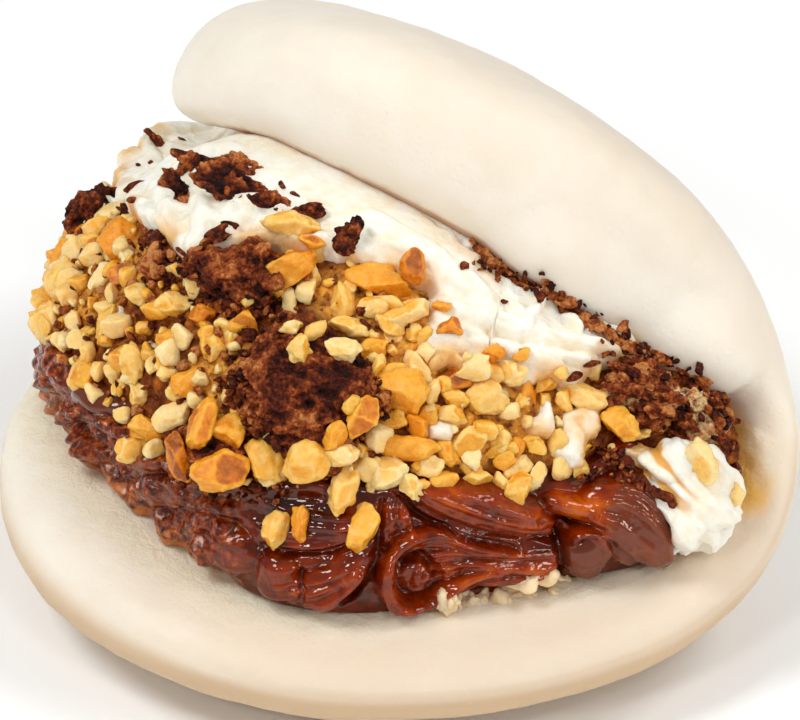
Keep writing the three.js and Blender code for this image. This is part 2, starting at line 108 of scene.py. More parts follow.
def smoothstep(value, low, high):
    t = np.clip((value - low) / (high - low), 0, 1)
    return t * t * (3 - 2 * t)


def bump(value, middle, width):
    return np.exp(-(((value - middle) / width) ** 2))


def unit(vectors):
    return vectors / np.maximum(np.linalg.norm(vectors, axis=-1, keepdims=True), 1e-9)


def srgb(red, green, blue):
    """A linear colour from 8-bit display values."""
    parts = [c / 255 for c in (red, green, blue)]
    return tuple(c / 12.92 if c <= 0.04045 else ((c + 0.055) / 1.055) ** 2.4 for c in parts)


# Noise


def hashed(cell, seed):
    """A number from 0 to 1 for each whole-numbered place."""
    with np.errstate(over="ignore"):
        x, y, z = (cell[..., k].astype(np.uint32) for k in range(3))
        n = x * np.uint32(374761393) + y * np.uint32(668265263) + z * np.uint32(2246822519)
        n = n + np.uint32((seed * 3266489917) & 0xFFFFFFFF)
        n = (n ^ (n >> np.uint32(13))) * np.uint32(1274126177)
        n = (n ^ (n >> np.uint32(16))) * np.uint32(2654435769)
        n = n ^ (n >> np.uint32(15))
    return n.astype(np.float64) / 4294967295.0


def noise(points, size, seed=0):
    """Smooth noise from about -1 to 1 whose bumps have a size in mm."""
    place = points / size + 31.7
    cell = np.floor(place).astype(np.int64)
    part = place - cell
    fade = part**3 * (part * (part * 6 - 15) + 10)
    total = np.zeros(points.shape[:-1])
    for corner in itertools.product((0, 1), repeat=3):
        offset = np.array(corner)
        slope = np.stack([hashed(cell + offset, seed * 3 + k) for k in range(3)], -1) * 2 - 1
        weight = np.prod(np.where(offset, fade, 1 - fade), -1)
        total += weight * (slope * (part - offset)).sum(-1)
    return total * 1.6


def fractal(points, size, octaves, seed=0, rough=0.5):
    total = np.zeros(points.shape[:-1])
    for k in range(octaves):
        total += rough**k * noise(points, size / 2**k, seed + k)
    return total


def cells(points, size, seed=0):
    """Distances, in cell sizes, to the nearest and second nearest of scattered points."""
    place = points / size + 31.7
    cell = np.floor(place).astype(np.int64)
    nearest = np.full(points.shape[:-1], 9.0)
    second = nearest.copy()
    for step in itertools.product((-1, 0, 1), repeat=3):
        near = cell + np.array(step)
        centre = near + np.stack([hashed(near, seed * 3 + k) for k in range(3)], -1)
        distance = np.linalg.norm(place - centre, axis=-1)
        second = np.minimum(second, np.maximum(nearest, distance))
        nearest = np.minimum(nearest, distance)
    return nearest, second


# The dough's shape

BEND = math.pi - math.radians(MOUTH_ANGLE)
BEND_HALF = FOLD_RADIUS * BEND / 2


def heading(along):
    """Direction of the inner skin at a distance along the dough from the middle of the fold."""
    share = np.clip((along + BEND_HALF) / (2 * BEND_HALF), 0, 1)
    turn = (BEND / 2) * (share + share * share * (3 - 2 * share))
    droop = math.radians(UPPER_DROOP) * np.clip((along - BEND_HALF) / UPPER_REACH, 0, 1)
    curl = math.radians(LOWER_CURL) * np.clip((-along - BEND_HALF) / LOWER_REACH, 0, 1)
    return turn + droop - curl


SPINE_ALONG = np.linspace(-1.3 * LOWER_REACH, 1.6 * UPPER_REACH, 4001)
SPINE_STEP = SPINE_ALONG[1] - SPINE_ALONG[0]
SPINE_MIDDLES = heading(SPINE_ALONG[:-1] + SPINE_STEP / 2)
SPINE_Y = np.concatenate([[0], np.cumsum(np.cos(SPINE_MIDDLES))]) * SPINE_STEP
SPINE_Z = np.concatenate([[0], np.cumsum(np.sin(SPINE_MIDDLES))]) * SPINE_STEP
SPINE_Y -= np.interp(-BEND_HALF, SPINE_ALONG, SPINE_Y)
SPINE_Z -= np.interp(-BEND_HALF, SPINE_ALONG, SPINE_Z)


def swell_share(angle):
    degrees = np.degrees(np.arctan2(np.sin(angle), np.cos(angle)))
    below = SWELL_AT_FOLD * (1 - smoothstep(-degrees, 0, 40))
    above = (1 - smoothstep(degrees, *SWELL_ANGLES)) * lerp(SWELL_AT_FOLD, 1, smoothstep(degrees, 0, 20))
    return np.where(degrees < 0, below, above)


def raw_dough(share, angle, sheet, lift=0.0):
    """A point of the dough's skin in its own axes, lift mm off it, from a share of the way to the rim."""
    share, angle = np.broadcast_arrays(np.asarray(share, float), np.asarray(angle, float))
    c = np.cos(angle)
    s = np.sin(angle)
    oval = (np.abs(c) ** PLAN_POWER + np.abs(s) ** PLAN_POWER) ** (-1 / PLAN_POWER)
    forward = share * oval * s
    upper = 0.5 + 0.5 * np.tanh(3 * forward)
    x = HALF_LENGTH * share * oval * c * lerp(1, UPPER_NARROWING, upper) + UPPER_SHIFT * upper
    along = forward * np.where(forward < 0, LOWER_REACH, UPPER_REACH)
    end = x / HALF_LENGTH
    thick = DOUGH - FOLD_THINNING * np.exp(-((along / FOLD_BAND) ** 2)) - END_TAPER * end
    rim = np.sqrt(np.maximum(0, 1 - share**RIM_POWER))
    swell = CORNER_SWELL * swell_share(angle) * smoothstep(share, 0.3, 0.85)
    outside = (thick / 2) * (1 + rim) + DOME * (1 - share * share) - (swell / 2) * (1 - rim)
    inside = (thick / 2) * (1 - rim) - (swell / 2) * (1 + rim)
    depth = outside if sheet == OUTER else inside
    droop = (UPPER_CUP * end * end + UPPER_TWIST * end) * np.maximum(forward, 0)
    sag = (LOWER_CUP * end * end + LOWER_TWIST * end) * np.maximum(-forward, 0)
    out = depth - lift - droop + sag
    angle_here = heading(along)
    y = np.interp(along, SPINE_ALONG, SPINE_Y) + out * np.sin(angle_here)
    z = np.interp(along, SPINE_ALONG, SPINE_Z) - out * np.cos(angle_here)
    return np.stack([x, y, z], -1)


def frame_shift():
    """From the dough's own axes to the frame's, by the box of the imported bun."""
    share = np.linspace(0.5, 1, 201)[:, None]
    angle = np.linspace(0, 2 * np.pi, 721)[None]
    skin = np.concatenate([raw_dough(share, angle, sheet).reshape(-1, 3) for sheet in (OUTER, INNER)])
    low, high = (np.array(corner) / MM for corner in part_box("bun"))
    shift = (low + high) / 2 - (skin.min(0) + skin.max(0)) / 2
    shift[2] = -(raw_dough(np.linspace(0, 1, 201)[:, None], angle, OUTER)[..., 2].min() + REST_CUT)
    return shift


SHIFT = frame_shift()


def dough(share, angle, sheet, lift=0.0):
    return raw_dough(share, angle, sheet, lift) + SHIFT


# The filling's front, by degrees round the lip and a height from 0 on the lower flap to 1 on the upper


def foot_share(degrees):
    """Where the filling's front stands on the lower flap, as a share of the way to its rim."""
    far = 0.08 * smoothstep(degrees, 100, 140) - 0.03 * smoothstep(degrees, 150, 180)
    return 0.87 + far - 0.085 * bump(degrees, 38, 16) + 0.03 * bump(degrees, 0, 8)


def tuck_share(degrees):
    """Where it meets the upper flap."""
    return 0.84 + 0.06 * bump(degrees, 0, 14) + 0.08 * smoothstep(degrees, 115, 175)


SKIN_LIFT = 0.2


def wall(degrees, height):
    """Points of the filling's front, along a cubic curve from its foot to where it is tucked in."""
    degrees, height = np.broadcast_arrays(np.asarray(degrees, float), np.asarray(height, float))
    angle = np.radians(degrees)
    foot = dough(foot_share(degrees), -angle, INNER, SKIN_LIFT)
    top = dough(tuck_share(degrees), angle, INNER, SKIN_LIFT)
    closing = 1 - smoothstep(degrees, 150, 180)
    foot_out = foot - SHIFT
    foot_out[..., 1] += 2
    foot_out[..., 2] = 0
    top_out = top - dough(0.6, angle, INNER, SKIN_LIFT)
    rise = lerp(RISE_NEAR, RISE_FAR, smoothstep(degrees, 40, 120)) * np.clip(degrees / 35, 0, 1)
    lean = lerp(FOOT_OUT, FOOT_OUT_FAR, smoothstep(degrees, 60, 130))
    brow = lerp(BROW, BROW_MIDDLE, smoothstep(degrees, 30, 90))
    brow = brow - (BROW_MIDDLE - BROW_FAR) * smoothstep(degrees, 95, 135)
    drop = FAR_DROP * smoothstep(degrees, 95, 140) * closing
    first = foot + unit(foot_out) * (lean * closing)[..., None]
    first[..., 2] += rise * closing
    second = top + unit(top_out) * (brow * closing)[..., None]
    second[..., 2] -= drop
    end = top.copy()
    end[..., 2] -= 0.6 * drop
    t = height[..., None]
    u = 1 - t
    return u**3 * foot + 3 * u * u * t * first + 3 * u * t * t * second + t**3 * end


def wall_normal(degrees, height):
    side = wall(degrees + 0.5, height) - wall(degrees - 0.5, height)
    up = wall(degrees, height + 0.01) - wall(degrees, height - 0.01)
    return unit(np.cross(up, side))


def sauce_top(degrees):
    return 0.18 + 0.11 * (1 - smoothstep(degrees, 62, 84)) + 0.16 * bump(degrees, 26, 5)


def crumb_top(degrees):
    corner = 0.3 * (1 - smoothstep(degrees, 14, 30))
    return 0.58 + 0.13 * bump(degrees, 70, 13) - 0.08 * bump(degrees, 104, 9) + corner


# The photograph's camera


def camera_axes():
    azimuth = math.radians(AZIMUTH)
    elevation = math.radians(ELEVATION)
    level = math.cos(elevation)
    back = np.array([math.sin(azimuth) * level, -math.cos(azimuth) * level, math.sin(elevation)])
    right = np.array([math.cos(azimuth), math.sin(azimuth), 0])
    return back, right, np.cross(back, right)


BACK, RIGHT, UP = camera_axes()
CAMERA_PLACE = CAMERA_TARGET + BACK * CAMERA_DISTANCE


def to_pixels(points):
    seen = points - CAMERA_PLACE
    depth = -(seen @ BACK)
    x = IMAGE_WIDTH / 2 + FOCAL_PIXELS * (seen @ RIGHT) / depth
    y = IMAGE_HEIGHT / 2 - FOCAL_PIXELS * (seen @ UP) / depth
    return np.stack([x, y], -1)


def toward_camera(points):
    return unit(CAMERA_PLACE - points)


class Surface:
    """A grid of points that pixels of the photograph can be placed on."""

    def __init__(self, points, normals):
        self.points = points.reshape(-1, 3)
        self.normals = normals.reshape(-1, 3)
        self.pixels = to_pixels(self.points)
        facing = (self.normals * toward_camera(self.points)).sum(-1)
        self.hidden = np.where(facing > 0.02, 0.0, 1e6)
        self.nearness = -((self.points - CAMERA_PLACE) @ BACK)

    def at(self, x, y):
        """The index of the grid's visible point at a pixel, the one in front where several are."""
        off = np.hypot(self.pixels[:, 0] - x, self.pixels[:, 1] - y) + self.hidden
        close = off < max(PICK_REACH, off.min() + 0.5)
        return int(np.argmin(np.where(close, self.nearness, 1e9)))

    def path(self, line):
        """The smooth path on this surface under a line of pixels."""
        return smooth_path([self.points[self.at(x, y)] for x, y in line])

    def with_layer(self, other):
        """This surface and another one together."""
        both = Surface.__new__(Surface)
        for key in ("points", "normals", "pixels", "hidden", "nearness"):
            setattr(both, key, np.concatenate([getattr(self, key), getattr(other, key)]))
        return both


WALL_DEGREES = np.linspace(WALL_ENDS[0], WALL_ENDS[1], 561)
WALL_HEIGHTS = np.linspace(0, 1, 161)
WALL_GRID = np.meshgrid(WALL_DEGREES, WALL_HEIGHTS, indexing="ij")
WALL = Surface(wall(*WALL_GRID), wall_normal(*WALL_GRID))
PIXEL = CAMERA_DISTANCE / FOCAL_PIXELS  # mm that a pixel covers at the object


# Distances on the filling's front


def smooth_path(points, steps=6):
    """Catmull-Rom points through a few given ones."""
    points = np.asarray(points, float)
    padded = np.concatenate([[2 * points[0] - points[1]], points, [2 * points[-1] - points[-2]]])
    made = []
    for a, b, c, d in zip(padded, padded[1:], padded[2:], padded[3:]):
        for t in np.arange(steps) / steps:
            square = (2 * a - 5 * b + 4 * c - d) * t**2
            cube = (3 * b - a - 3 * c + d) * t**3
            made.append(0.5 * (2 * b + (c - a) * t + square + cube))
    made.append(points[-1])
    return np.array(made)


def path_distance(points, path):
    """Distance to a path, and the share of the path at its nearest point."""
    best = np.full(len(points), 1e9)
    where = np.zeros(len(points))
    count = len(path) - 1
    for k, (a, b) in enumerate(zip(path, path[1:])):
        along = b - a
        t = np.clip(((points - a) @ along) / max(along @ along, 1e-9), 0, 1)
        distance = np.linalg.norm(points - a - t[:, None] * along, axis=1)
        closer = distance < best
        best[closer] = distance[closer]
        where[closer] = (k + t[closer]) / count
    return best, where


def rope(base, line, width, height):
    """A rounded ridge over the line of pixels: its half width is in pixels and its height in mm."""
    path = WALL.path(line)
    reach = width * PIXEL
    flat = base.reshape(-1, 3)
    near = ((flat > path.min(0) - reach) & (flat < path.max(0) + reach)).all(1)
    result = np.zeros(len(flat))
    if near.any():
        distance, where = path_distance(flat[near], path)
        ends = (1 - np.abs(2 * where - 1) ** 3) ** 0.5
        share = np.clip(1 - (distance / (reach * np.maximum(ends, 0.05))) ** 2, 0, None)
        result[near] = height * ends**2 * share**0.6
    return result.reshape(base.shape[:-1])


def near_places(points, places, full):
    """How near each point is to listed pixels, 1 within the full share of a place's reach in mm."""
    result = np.zeros(points.shape[:-1])
    for x, y, reach in places:
        distance = np.linalg.norm(points - WALL.points[WALL.at(x, y)], axis=-1)
        result = np.maximum(result, 1 - smoothstep(distance, full * reach, reach))
    return result


def region_depth(degrees, heights, base, pixels):
    """Signed distance in mm to the edge of a region drawn in pixels, positive inside."""
    count = len(WALL_HEIGHTS)
    index = [WALL.at(x, y) for x, y in pixels]
    corners = [(WALL_DEGREES[k // count], WALL_HEIGHTS[k % count]) for k in index]
    outline = np.array([WALL.points[k] for k in index + index[:1]])
    distance, _ = path_distance(base.reshape(-1, 3), outline)
    distance = distance.reshape(degrees.shape)
    inside = np.zeros(degrees.shape, bool)
    for (u0, v0), (u1, v1) in zip(corners, corners[1:] + corners[:1]):
        crosses = (v0 > heights) != (v1 > heights)
        inside ^= crosses & (degrees < (u1 - u0) * (heights - v0) / (v1 - v0 + 1e-12) + u0)
    return np.where(inside, distance, -distance)


# Meshes


def grid_faces(rows, columns, wrap_rows=False, wrap_columns=False):
    i = np.arange(rows if wrap_rows else rows - 1)
    j = np.arange(columns if wrap_columns else columns - 1)
    i, j = np.meshgrid(i, j, indexing="ij")
    i1 = (i + 1) % rows
    j1 = (j + 1) % columns
    corners = [i * columns + j, i1 * columns + j, i1 * columns + j1, i * columns + j1]
    return np.stack(corners, -1).reshape(-1, 4)


def make_mesh(name, points, faces, look, replaces=(), attributes=None):
    """A piece on the root body, from points in mm and equal-sided faces."""
    faces = np.asarray(faces)
    count, sides = faces.shape
    mesh = bpy.data.meshes.new(name)
    mesh.vertices.add(len(points))
    mesh.vertices.foreach_set("co", (np.asarray(points) * MM).astype(np.float32).ravel())
    mesh.loops.add(count * sides)
    mesh.loops.foreach_set("vertex_index", faces.astype(np.int32).ravel())
    mesh.polygons.add(count)
    mesh.polygons.foreach_set("loop_start", np.arange(0, count * sides, sides, dtype=np.int32))
    mesh.polygons.foreach_set("use_smooth", np.ones(count, bool))
    for key, values in (attributes or {}).items():
        layer = mesh.attributes.new(key, "FLOAT", "POINT")
        layer.data.foreach_set("value", np.asarray(values, np.float32).ravel())
    mesh.update(calc_edges=True)
    mesh.validate()
    mesh.materials.append(look)
    piece = bpy.data.objects.new(name, mesh)
    bpy.context.scene.collection.objects.link(piece)
    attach(piece, "root")
    if replaces:
        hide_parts(*replaces)
    return piece


def grid_normals(points, wrap_rows=False):
    """Unit normals of a grid of points, facing as its faces do."""
    if wrap_rows:
        along = np.roll(points, -1, 0) - np.roll(points, 1, 0)
    else:
        along = np.gradient(points, axis=0)
    across = np.gradient(points, axis=1)
    return unit(np.cross(along, across))


# Materials


def shade(colour):
    """A linear colour with its alpha, from a grey value or 8-bit display values."""
    if isinstance(colour, (int, float)):
        return (colour, colour, colour, 1)
    return (*srgb(*colour), 1)


class Look:
    """A Principled material built up node by node. Colours are 8-bit display values."""

    def __init__(self, name, **sockets):
        self.material = bpy.data.materials.new(name)
        self.material.use_nodes = True
        self.tree = self.material.node_tree
        self.shader = self.tree.nodes["Principled BSDF"]
        for key, value in sockets.items():
            self.shader.inputs[key.replace("_", " ")].default_value = value
        self.place = self.tree.nodes.new("ShaderNodeTexCoord").outputs["Object"]

    def give(self, value, socket):
        """Links a node's output to a socket, or sets the socket to a number or colour."""
        if isinstance(value, bpy.types.NodeSocket):
            self.tree.links.new(value, socket)
        elif socket.type == "RGBA":
            socket.default_value = shade(value)
        else:
            socket.default_value = value

    def attribute(self, name):
        node = self.tree.nodes.new("ShaderNodeAttribute")
        node.attribute_name = name
        return node.outputs["Fac"]

    def noise(self, size_mm, detail, roughness, distortion=0.0):
        node = self.tree.nodes.new("ShaderNodeTexNoise")
        node.inputs["Scale"].default_value = 1 / (size_mm * MM)
        node.inputs["Detail"].default_value = detail
        node.inputs["Roughness"].default_value = roughness
        node.inputs["Distortion"].default_value = distortion
        self.give(self.place, node.inputs["Vector"])
        return node.outputs["Fac"]

    def cells(self, size_mm):
        node = self.tree.nodes.new("ShaderNodeTexVoronoi")
        node.inputs["Scale"].default_value = 1 / (size_mm * MM)
        self.give(self.place, node.inputs["Vector"])
        return node.outputs["Distance"]

    def ramp(self, value, stops):
        """A value through colour or grey stops, as (place, colour) pairs."""
        node = self.tree.nodes.new("ShaderNodeValToRGB")
        ramp = node.color_ramp
        while len(ramp.elements) < len(stops):
            ramp.elements.new(0.5)
        for element, (place, colour) in zip(ramp.elements, stops):
            element.position = place
            element.color = shade(colour)
        self.give(value, node.inputs["Fac"])
        return node.outputs["Color"]

    def mix(self, share, a, b):
        node = self.tree.nodes.new("ShaderNodeMix")
        node.data_type = "RGBA"
        for index, value in ((0, share), (6, a), (7, b)):
            self.give(value, node.inputs[index])
        return node.outputs[2]

    def maths(self, operation, a, b):
        node = self.tree.nodes.new("ShaderNodeMath")
        node.operation = operation
        self.give(a, node.inputs[0])
        self.give(b, node.inputs[1])
        return node.outputs[0]

    def plus(self, a, b):
        return self.maths("ADD", a, b)

    def times(self, a, b):
        return self.maths("MULTIPLY", a, b)

    def colour(self, value):
        self.give(value, self.shader.inputs["Base Color"])

    def roughness(self, value):
        self.give(value, self.shader.inputs["Roughness"])

    def bump(self, heights):
        """Bumps from (value, depth in mm) pairs, one on another."""
        normal = None
        for value, depth in heights:
            node = self.tree.nodes.new("ShaderNodeBump")
            node.inputs["Strength"].default_value = 1.0
            node.inputs["Distance"].default_value = depth * MM
            self.give(value, node.inputs["Height"])
            if normal is not None:
                self.give(normal, node.inputs["Normal"])
            normal = node.outputs["Normal"]
        self.give(normal, self.shader.inputs["Normal"])


def dough_look(name, scatter_mm):
    look = Look(
        name,
        Roughness=0.5,
        Subsurface_Weight=0.35,
        Subsurface_Radius=(1.0, 0.75, 0.5),
        Subsurface_Scale=scatter_mm * MM,
        Specular_IOR_Level=0.35,
    )
    pale = look.ramp(
        look.noise(9, 4, 0.55), [(0.3, (241, 229, 212)), (0.55, (244, 234, 219)), (0.8, (246, 238, 225))]
    )
    # Painted shade: the under attribute darkens and warms the dough below, round the near rim and on the
    # right of its top.
    lower = look.mix(look.attribute("under"), pale, (208, 178, 142))
    torn = look.mix(look.attribute("torn"), lower, (252, 236, 208))
    stained = look.mix(look.attribute("stain"), torn, (186, 116, 44))
    look.colour(look.mix(look.attribute("oil"), stained, (248, 194, 96)))
    pores = look.ramp(look.cells(0.9), [(0.0, 0.0), (0.35, 1.0)])
    rough_skin = look.times(look.noise(0.8, 5, 0.7), look.attribute("torn"))
    look.bump([(look.noise(3.2, 4, 0.5), 0.2), (pores, 0.025), (rough_skin, 0.4)])
    look.roughness(look.ramp(look.noise(2.5, 3, 0.6), [(0.3, 0.42), (0.7, 0.58)]))
    return look.material


def sauce_look():
    look = Look(
        "chocolate_sauce",
        Roughness=0.1,
        Subsurface_Weight=0.2,
        Subsurface_Radius=(1.0, 0.3, 0.06),
        Subsurface_Scale=1.2 * MM,
        Specular_IOR_Level=0.56,
        Specular_Tint=(1.0, 0.87, 0.76, 1.0),
    )
    # The thick attribute carries painted light and shade: lighter on raised lobes and strands, darker in the
    # hollows and in a hole.
    thick = look.plus(look.attribute("thick"), look.times(look.noise(3, 4, 0.6, 0.6), 1.1))
    smooth = look.ramp(
        look.plus(thick, -0.55),
        [(0.0, (34, 2, 0)), (0.35, (88, 17, 0)), (0.65, (144, 44, 0)), (1.0, (198, 90, 8))],
    )
    crumbly = look.ramp(
        look.noise(0.8, 5, 0.65),
        [(0.36, (44, 4, 0)), (0.5, (112, 34, 4)), (0.62, (176, 82, 22)), (0.76, (226, 146, 70))],
    )
    milky = look.mix(look.attribute("milky"), smooth, (108, 50, 30))
    fringed = look.mix(look.attribute("fringe"), crumbly, (206, 122, 56))
    look.colour(look.mix(look.attribute("crumbly"), milky, fringed))
    look.roughness(look.mix(look.attribute("crumbly"), 0.06, 0.08))
    grain = look.times(look.noise(0.5, 4, 0.65), look.attribute("crumbly"))
    look.bump([(look.noise(2.6, 1, 0.5, 0.8), 0.22), (look.noise(1.0, 1, 0.5, 0.6), 0.05), (grain, 0.08)])
    return look.material


def crumb_look():
    look = Look("brownie_crumb", Roughness=0.65, Specular_IOR_Level=0.18)
    dark = look.ramp(
        look.noise(1.4, 5, 0.65),
        [(0.3, (62, 18, 0)), (0.5, (122, 54, 8)), (0.68, (184, 100, 26)), (0.85, (222, 160, 78))],
    )
    amber = look.ramp(
        look.noise(1.2, 5, 0.65),
        [(0.34, (62, 20, 0)), (0.5, (128, 62, 10)), (0.62, (188, 112, 34)), (0.8, (232, 176, 92))],
    )
    brown = look.mix(look.attribute("amber"), dark, amber)
    patches = look.ramp(look.noise(1.6, 4, 0.6), [(0.36, 0.0), (0.56, 1.0)])
    look.colour(look.mix(look.times(look.attribute("gold"), patches), brown, (238, 168, 66)))
    look.roughness(look.ramp(look.noise(0.9, 3, 0.6), [(0.35, 0.2), (0.65, 0.7)]))
    look.bump([(look.cells(1.0), 0.45), (look.noise(0.6, 4, 0.65), 0.3)])
    return look.material


BROWNIE_STOPS = [
    (0.1, (26, 4, 0)), (0.4, (66, 18, 4)), (0.62, (118, 46, 14)), (0.82, (176, 90, 38)),
    (0.98, (210, 136, 76)),
]


def brownie_look(name, height):
    """height is the attribute that tells the raised places, which are lighter, from the hollows: painted
    light on the raised places and painted shade in the hollows.
    """
    look = Look(name, Roughness=0.6, Specular_IOR_Level=0.18)
    coarse = look.times(look.noise(1.3, 5, 0.65), 0.8)
    fine = look.times(look.noise(0.4, 3, 0.6), 0.9)
    tone = look.plus(look.attribute(height), look.plus(coarse, fine))
    brown = look.ramp(look.plus(tone, -0.85), BROWNIE_STOPS)
    patches = look.ramp(look.noise(1.6, 4, 0.6), [(0.34, 0.0), (0.5, 1.0)])
    look.colour(look.mix(look.times(look.attribute("smear"), patches), brown, (255, 212, 150)))
    look.roughness(look.ramp(look.noise(0.5, 3, 0.6), [(0.35, 0.4), (0.65, 0.85)]))
    look.bump([(look.noise(1.0, 5, 0.7), 0.5), (look.cells(0.55), 0.4), (look.noise(0.3, 3, 0.6), 0.1)])
    return look.material


NUT_STOPS = [
    (0.0, (255, 222, 162)), (0.3, (254, 203, 116)), (0.5, (247, 178, 60)), (0.7, (236, 150, 26)),
    (0.85, (206, 112, 10)), (1.0, (150, 74, 8)),
]


def nut_look():
    look = Look(
        "hazelnut",
        Roughness=0.42,
        Subsurface_Weight=0.4,
        Subsurface_Radius=(1.0, 0.7, 0.4),
        Subsurface_Scale=1.5 * MM,
        Specular_IOR_Level=0.4,
    )
    tone = look.plus(look.attribute("tone"), look.times(look.noise(0.9, 4, 0.6), 0.5))
    look.colour(look.ramp(look.plus(tone, -0.25), NUT_STOPS))
    look.roughness(look.ramp(look.noise(0.7, 3, 0.5), [(0.3, 0.18), (0.7, 0.42)]))
    look.bump([(look.noise(0.9, 4, 0.6), 0.2), (look.noise(0.3, 4, 0.65), 0.08)])
    return look.material


def cream_look():
    look = Look(
        "whipped_cream",
        Roughness=0.4,
        Subsurface_Weight=0.5,
        Subsurface_Radius=(1.0, 0.9, 0.75),
        Subsurface_Scale=2 * MM,
        Specular_IOR_Level=0.45,
    )
    white = look.ramp(look.noise(3, 4, 0.6), [(0.35, (248, 234, 210)), (0.6, (254, 248, 235))])
    look.colour(look.mix(look.attribute("crease"), white, (232, 172, 80)))
    look.bump([(look.noise(2.2, 3, 0.5, 1.0), 0.25), (look.noise(0.6, 4, 0.6), 0.12)])
    return look.material


def floor_look():
    look = Look("floor", Roughness=0.7, Specular_IOR_Level=0.2)
    look.colour(look.ramp(look.noise(60, 2, 0.5), [(0.3, (252, 252, 252)), (0.7, (254, 254, 254))]))
    return look.material


# The bun

BUN_COLUMNS = 380
RIM_ROWS = 20
POLE_SHARE = 0.004
OUTER_ROWS = 70
INNER_ROWS = 50


def flap_shares(rows):
    """Shares from the middle to the rim, closer together where the rim rounds off."""
    rim = np.sin(np.arange(1, RIM_ROWS + 1) / RIM_ROWS * np.pi / 2) ** (2 / RIM_POWER)
    flat = np.linspace(POLE_SHARE, rim[0], rows, endpoint=False)
    return np.concatenate([flat, rim])


def make_bun(look):
    """The dough, its sheets joined round the rim and closed in their middles. Returns its surface."""
    turn = np.arange(BUN_COLUMNS) / BUN_COLUMNS * 2 * np.pi
    angle = (turn - 0.15 * np.sin(2 * turn))[:, None]
    outer = flap_shares(OUTER_ROWS)
    inner = flap_shares(INNER_ROWS)[:-1][::-1]
    sheets = [dough(outer[None], angle, OUTER), dough(inner[None], angle, INNER)]
    skin = np.concatenate(sheets, axis=1)
    columns, rows = skin.shape[:2]
    normals = grid_normals(skin, wrap_rows=True)
    plain = Surface(skin, normals)
    degrees = -np.degrees(np.arctan2(np.sin(angle), np.cos(angle)))
    shares = np.concatenate([outer, inner])[None]
    inside = np.arange(rows)[None] >= len(outer)
    foot = foot_share(np.clip(degrees, 0, 180))
    torn = np.where(inside & (degrees > 0), bump(shares, foot, 0.05), 0.0)
    relief = 0.35 * fractal(skin, 22, 2, 1) + 0.1 * fractal(skin, 5, 3, 5, 0.6)
    relief = relief + torn * 0.35 * fractal(skin, 1.6, 3, 8)
    relief = relief + lip_swell(plain).reshape(columns, rows)
    spread = {
        "torn": torn,
        "stain": lip_stain(skin, degrees, shares, inside),
        # painted shade: darker, warmer dough below, round the near rim and on the right of the top
        "under": painted_shade_places(skin, normals, degrees, shares, inside),
        "oil": oil_stain(plain).reshape(columns, rows) * inside,
    }
    skin = skin + normals * relief[..., None]
    skin[..., 2] = np.maximum(skin[..., 2], 0)
    points = skin.reshape(-1, 3)
    poles = [dough(0.0, 0.0, OUTER), dough(0.0, 0.0, INNER)]
    quads = grid_faces(columns, rows, wrap_rows=True)
    make_mesh(
        "steamed_bun",
        np.concatenate([points, poles]),
        np.concatenate([quads, pole_faces(columns, rows, len(points))]),
        look,
        ["bun"],
        {key: np.append(np.clip(values, 0, 1), [0, 0]) for key, values in spread.items()},
    )
    return Surface(skin, normals)


# Oil on the dough beside the filling: its line in pixels, and its reach in mm
OIL_LINE = [(706, 396), (718, 418), (729, 444), (736, 470), (743, 492)]
OIL_REACH = 3.7
# The brown line where the lip meets the filling: its ends in degrees round the lip, and measures in mm
LIP_ENDS = (26, 152)
LIP_HEIGHT = 0.94  # share of the height of the filling's front
LIP_STAND = 1.3  # from the filling's front to the cream's face
LIP_REACH = (0.9, 1.9)
# Where the lip is thicker: pixels along its edge, and the height and reach of the swelling in mm
SWELL_LINE = [
    (470, 238), (500, 254), (540, 275), (580, 298), (620, 323), (650, 342), (690, 360), (716, 382),
    (728, 400),
]
SWELL_HEIGHT = 2.3
SWELL_REACH = 8.0


def lip_swell(surface):
    """The lip of the upper flap is thicker towards its right end."""
    distance, where = path_distance(surface.points, surface.path(SWELL_LINE))
    ends = smoothstep(where, 0, 0.5) * smoothstep(where, 1.02, 0.8)
    return SWELL_HEIGHT * ends * (1 - smoothstep(distance, 1, SWELL_REACH))


def oil_stain(surface):
    distance, _ = path_distance(surface.points, surface.path(OIL_LINE))
    ragged = distance + 0.25 * OIL_REACH * fractal(surface.points, 2.2, 3, 4)
    return 1 - smoothstep(ragged, 0.2 * OIL_REACH, OIL_REACH)


def lip_stain(skin, degrees, shares, inside):
    """How brown the dough is under the lip, most of all in a thin line where it meets the filling."""
    tuck = tuck_share(np.clip(-degrees, 0, 180))
    edge = bump(shares, tuck + 0.03, 0.03) * smoothstep(-degrees, 8, 40) * smoothstep(-degrees, 165, 140)
    faint = np.where(inside & (degrees < 0), edge, 0.0) * (0.25 + 0.25 * noise(skin, 3, 3))
    around = np.linspace(*LIP_ENDS, 120)
    line = wall(around, LIP_HEIGHT) + wall_normal(around, LIP_HEIGHT) * LIP_STAND
    points = skin.reshape(-1, 3)
    distance, _ = path_distance(points, line)
    ragged = distance + 0.3 * fractal(points, 1.6, 2, 6)
    strong = (1 - smoothstep(ragged, *LIP_REACH)).reshape(skin.shape[:2])
    return np.maximum(faint, 0.75 * strong * (degrees < 0))


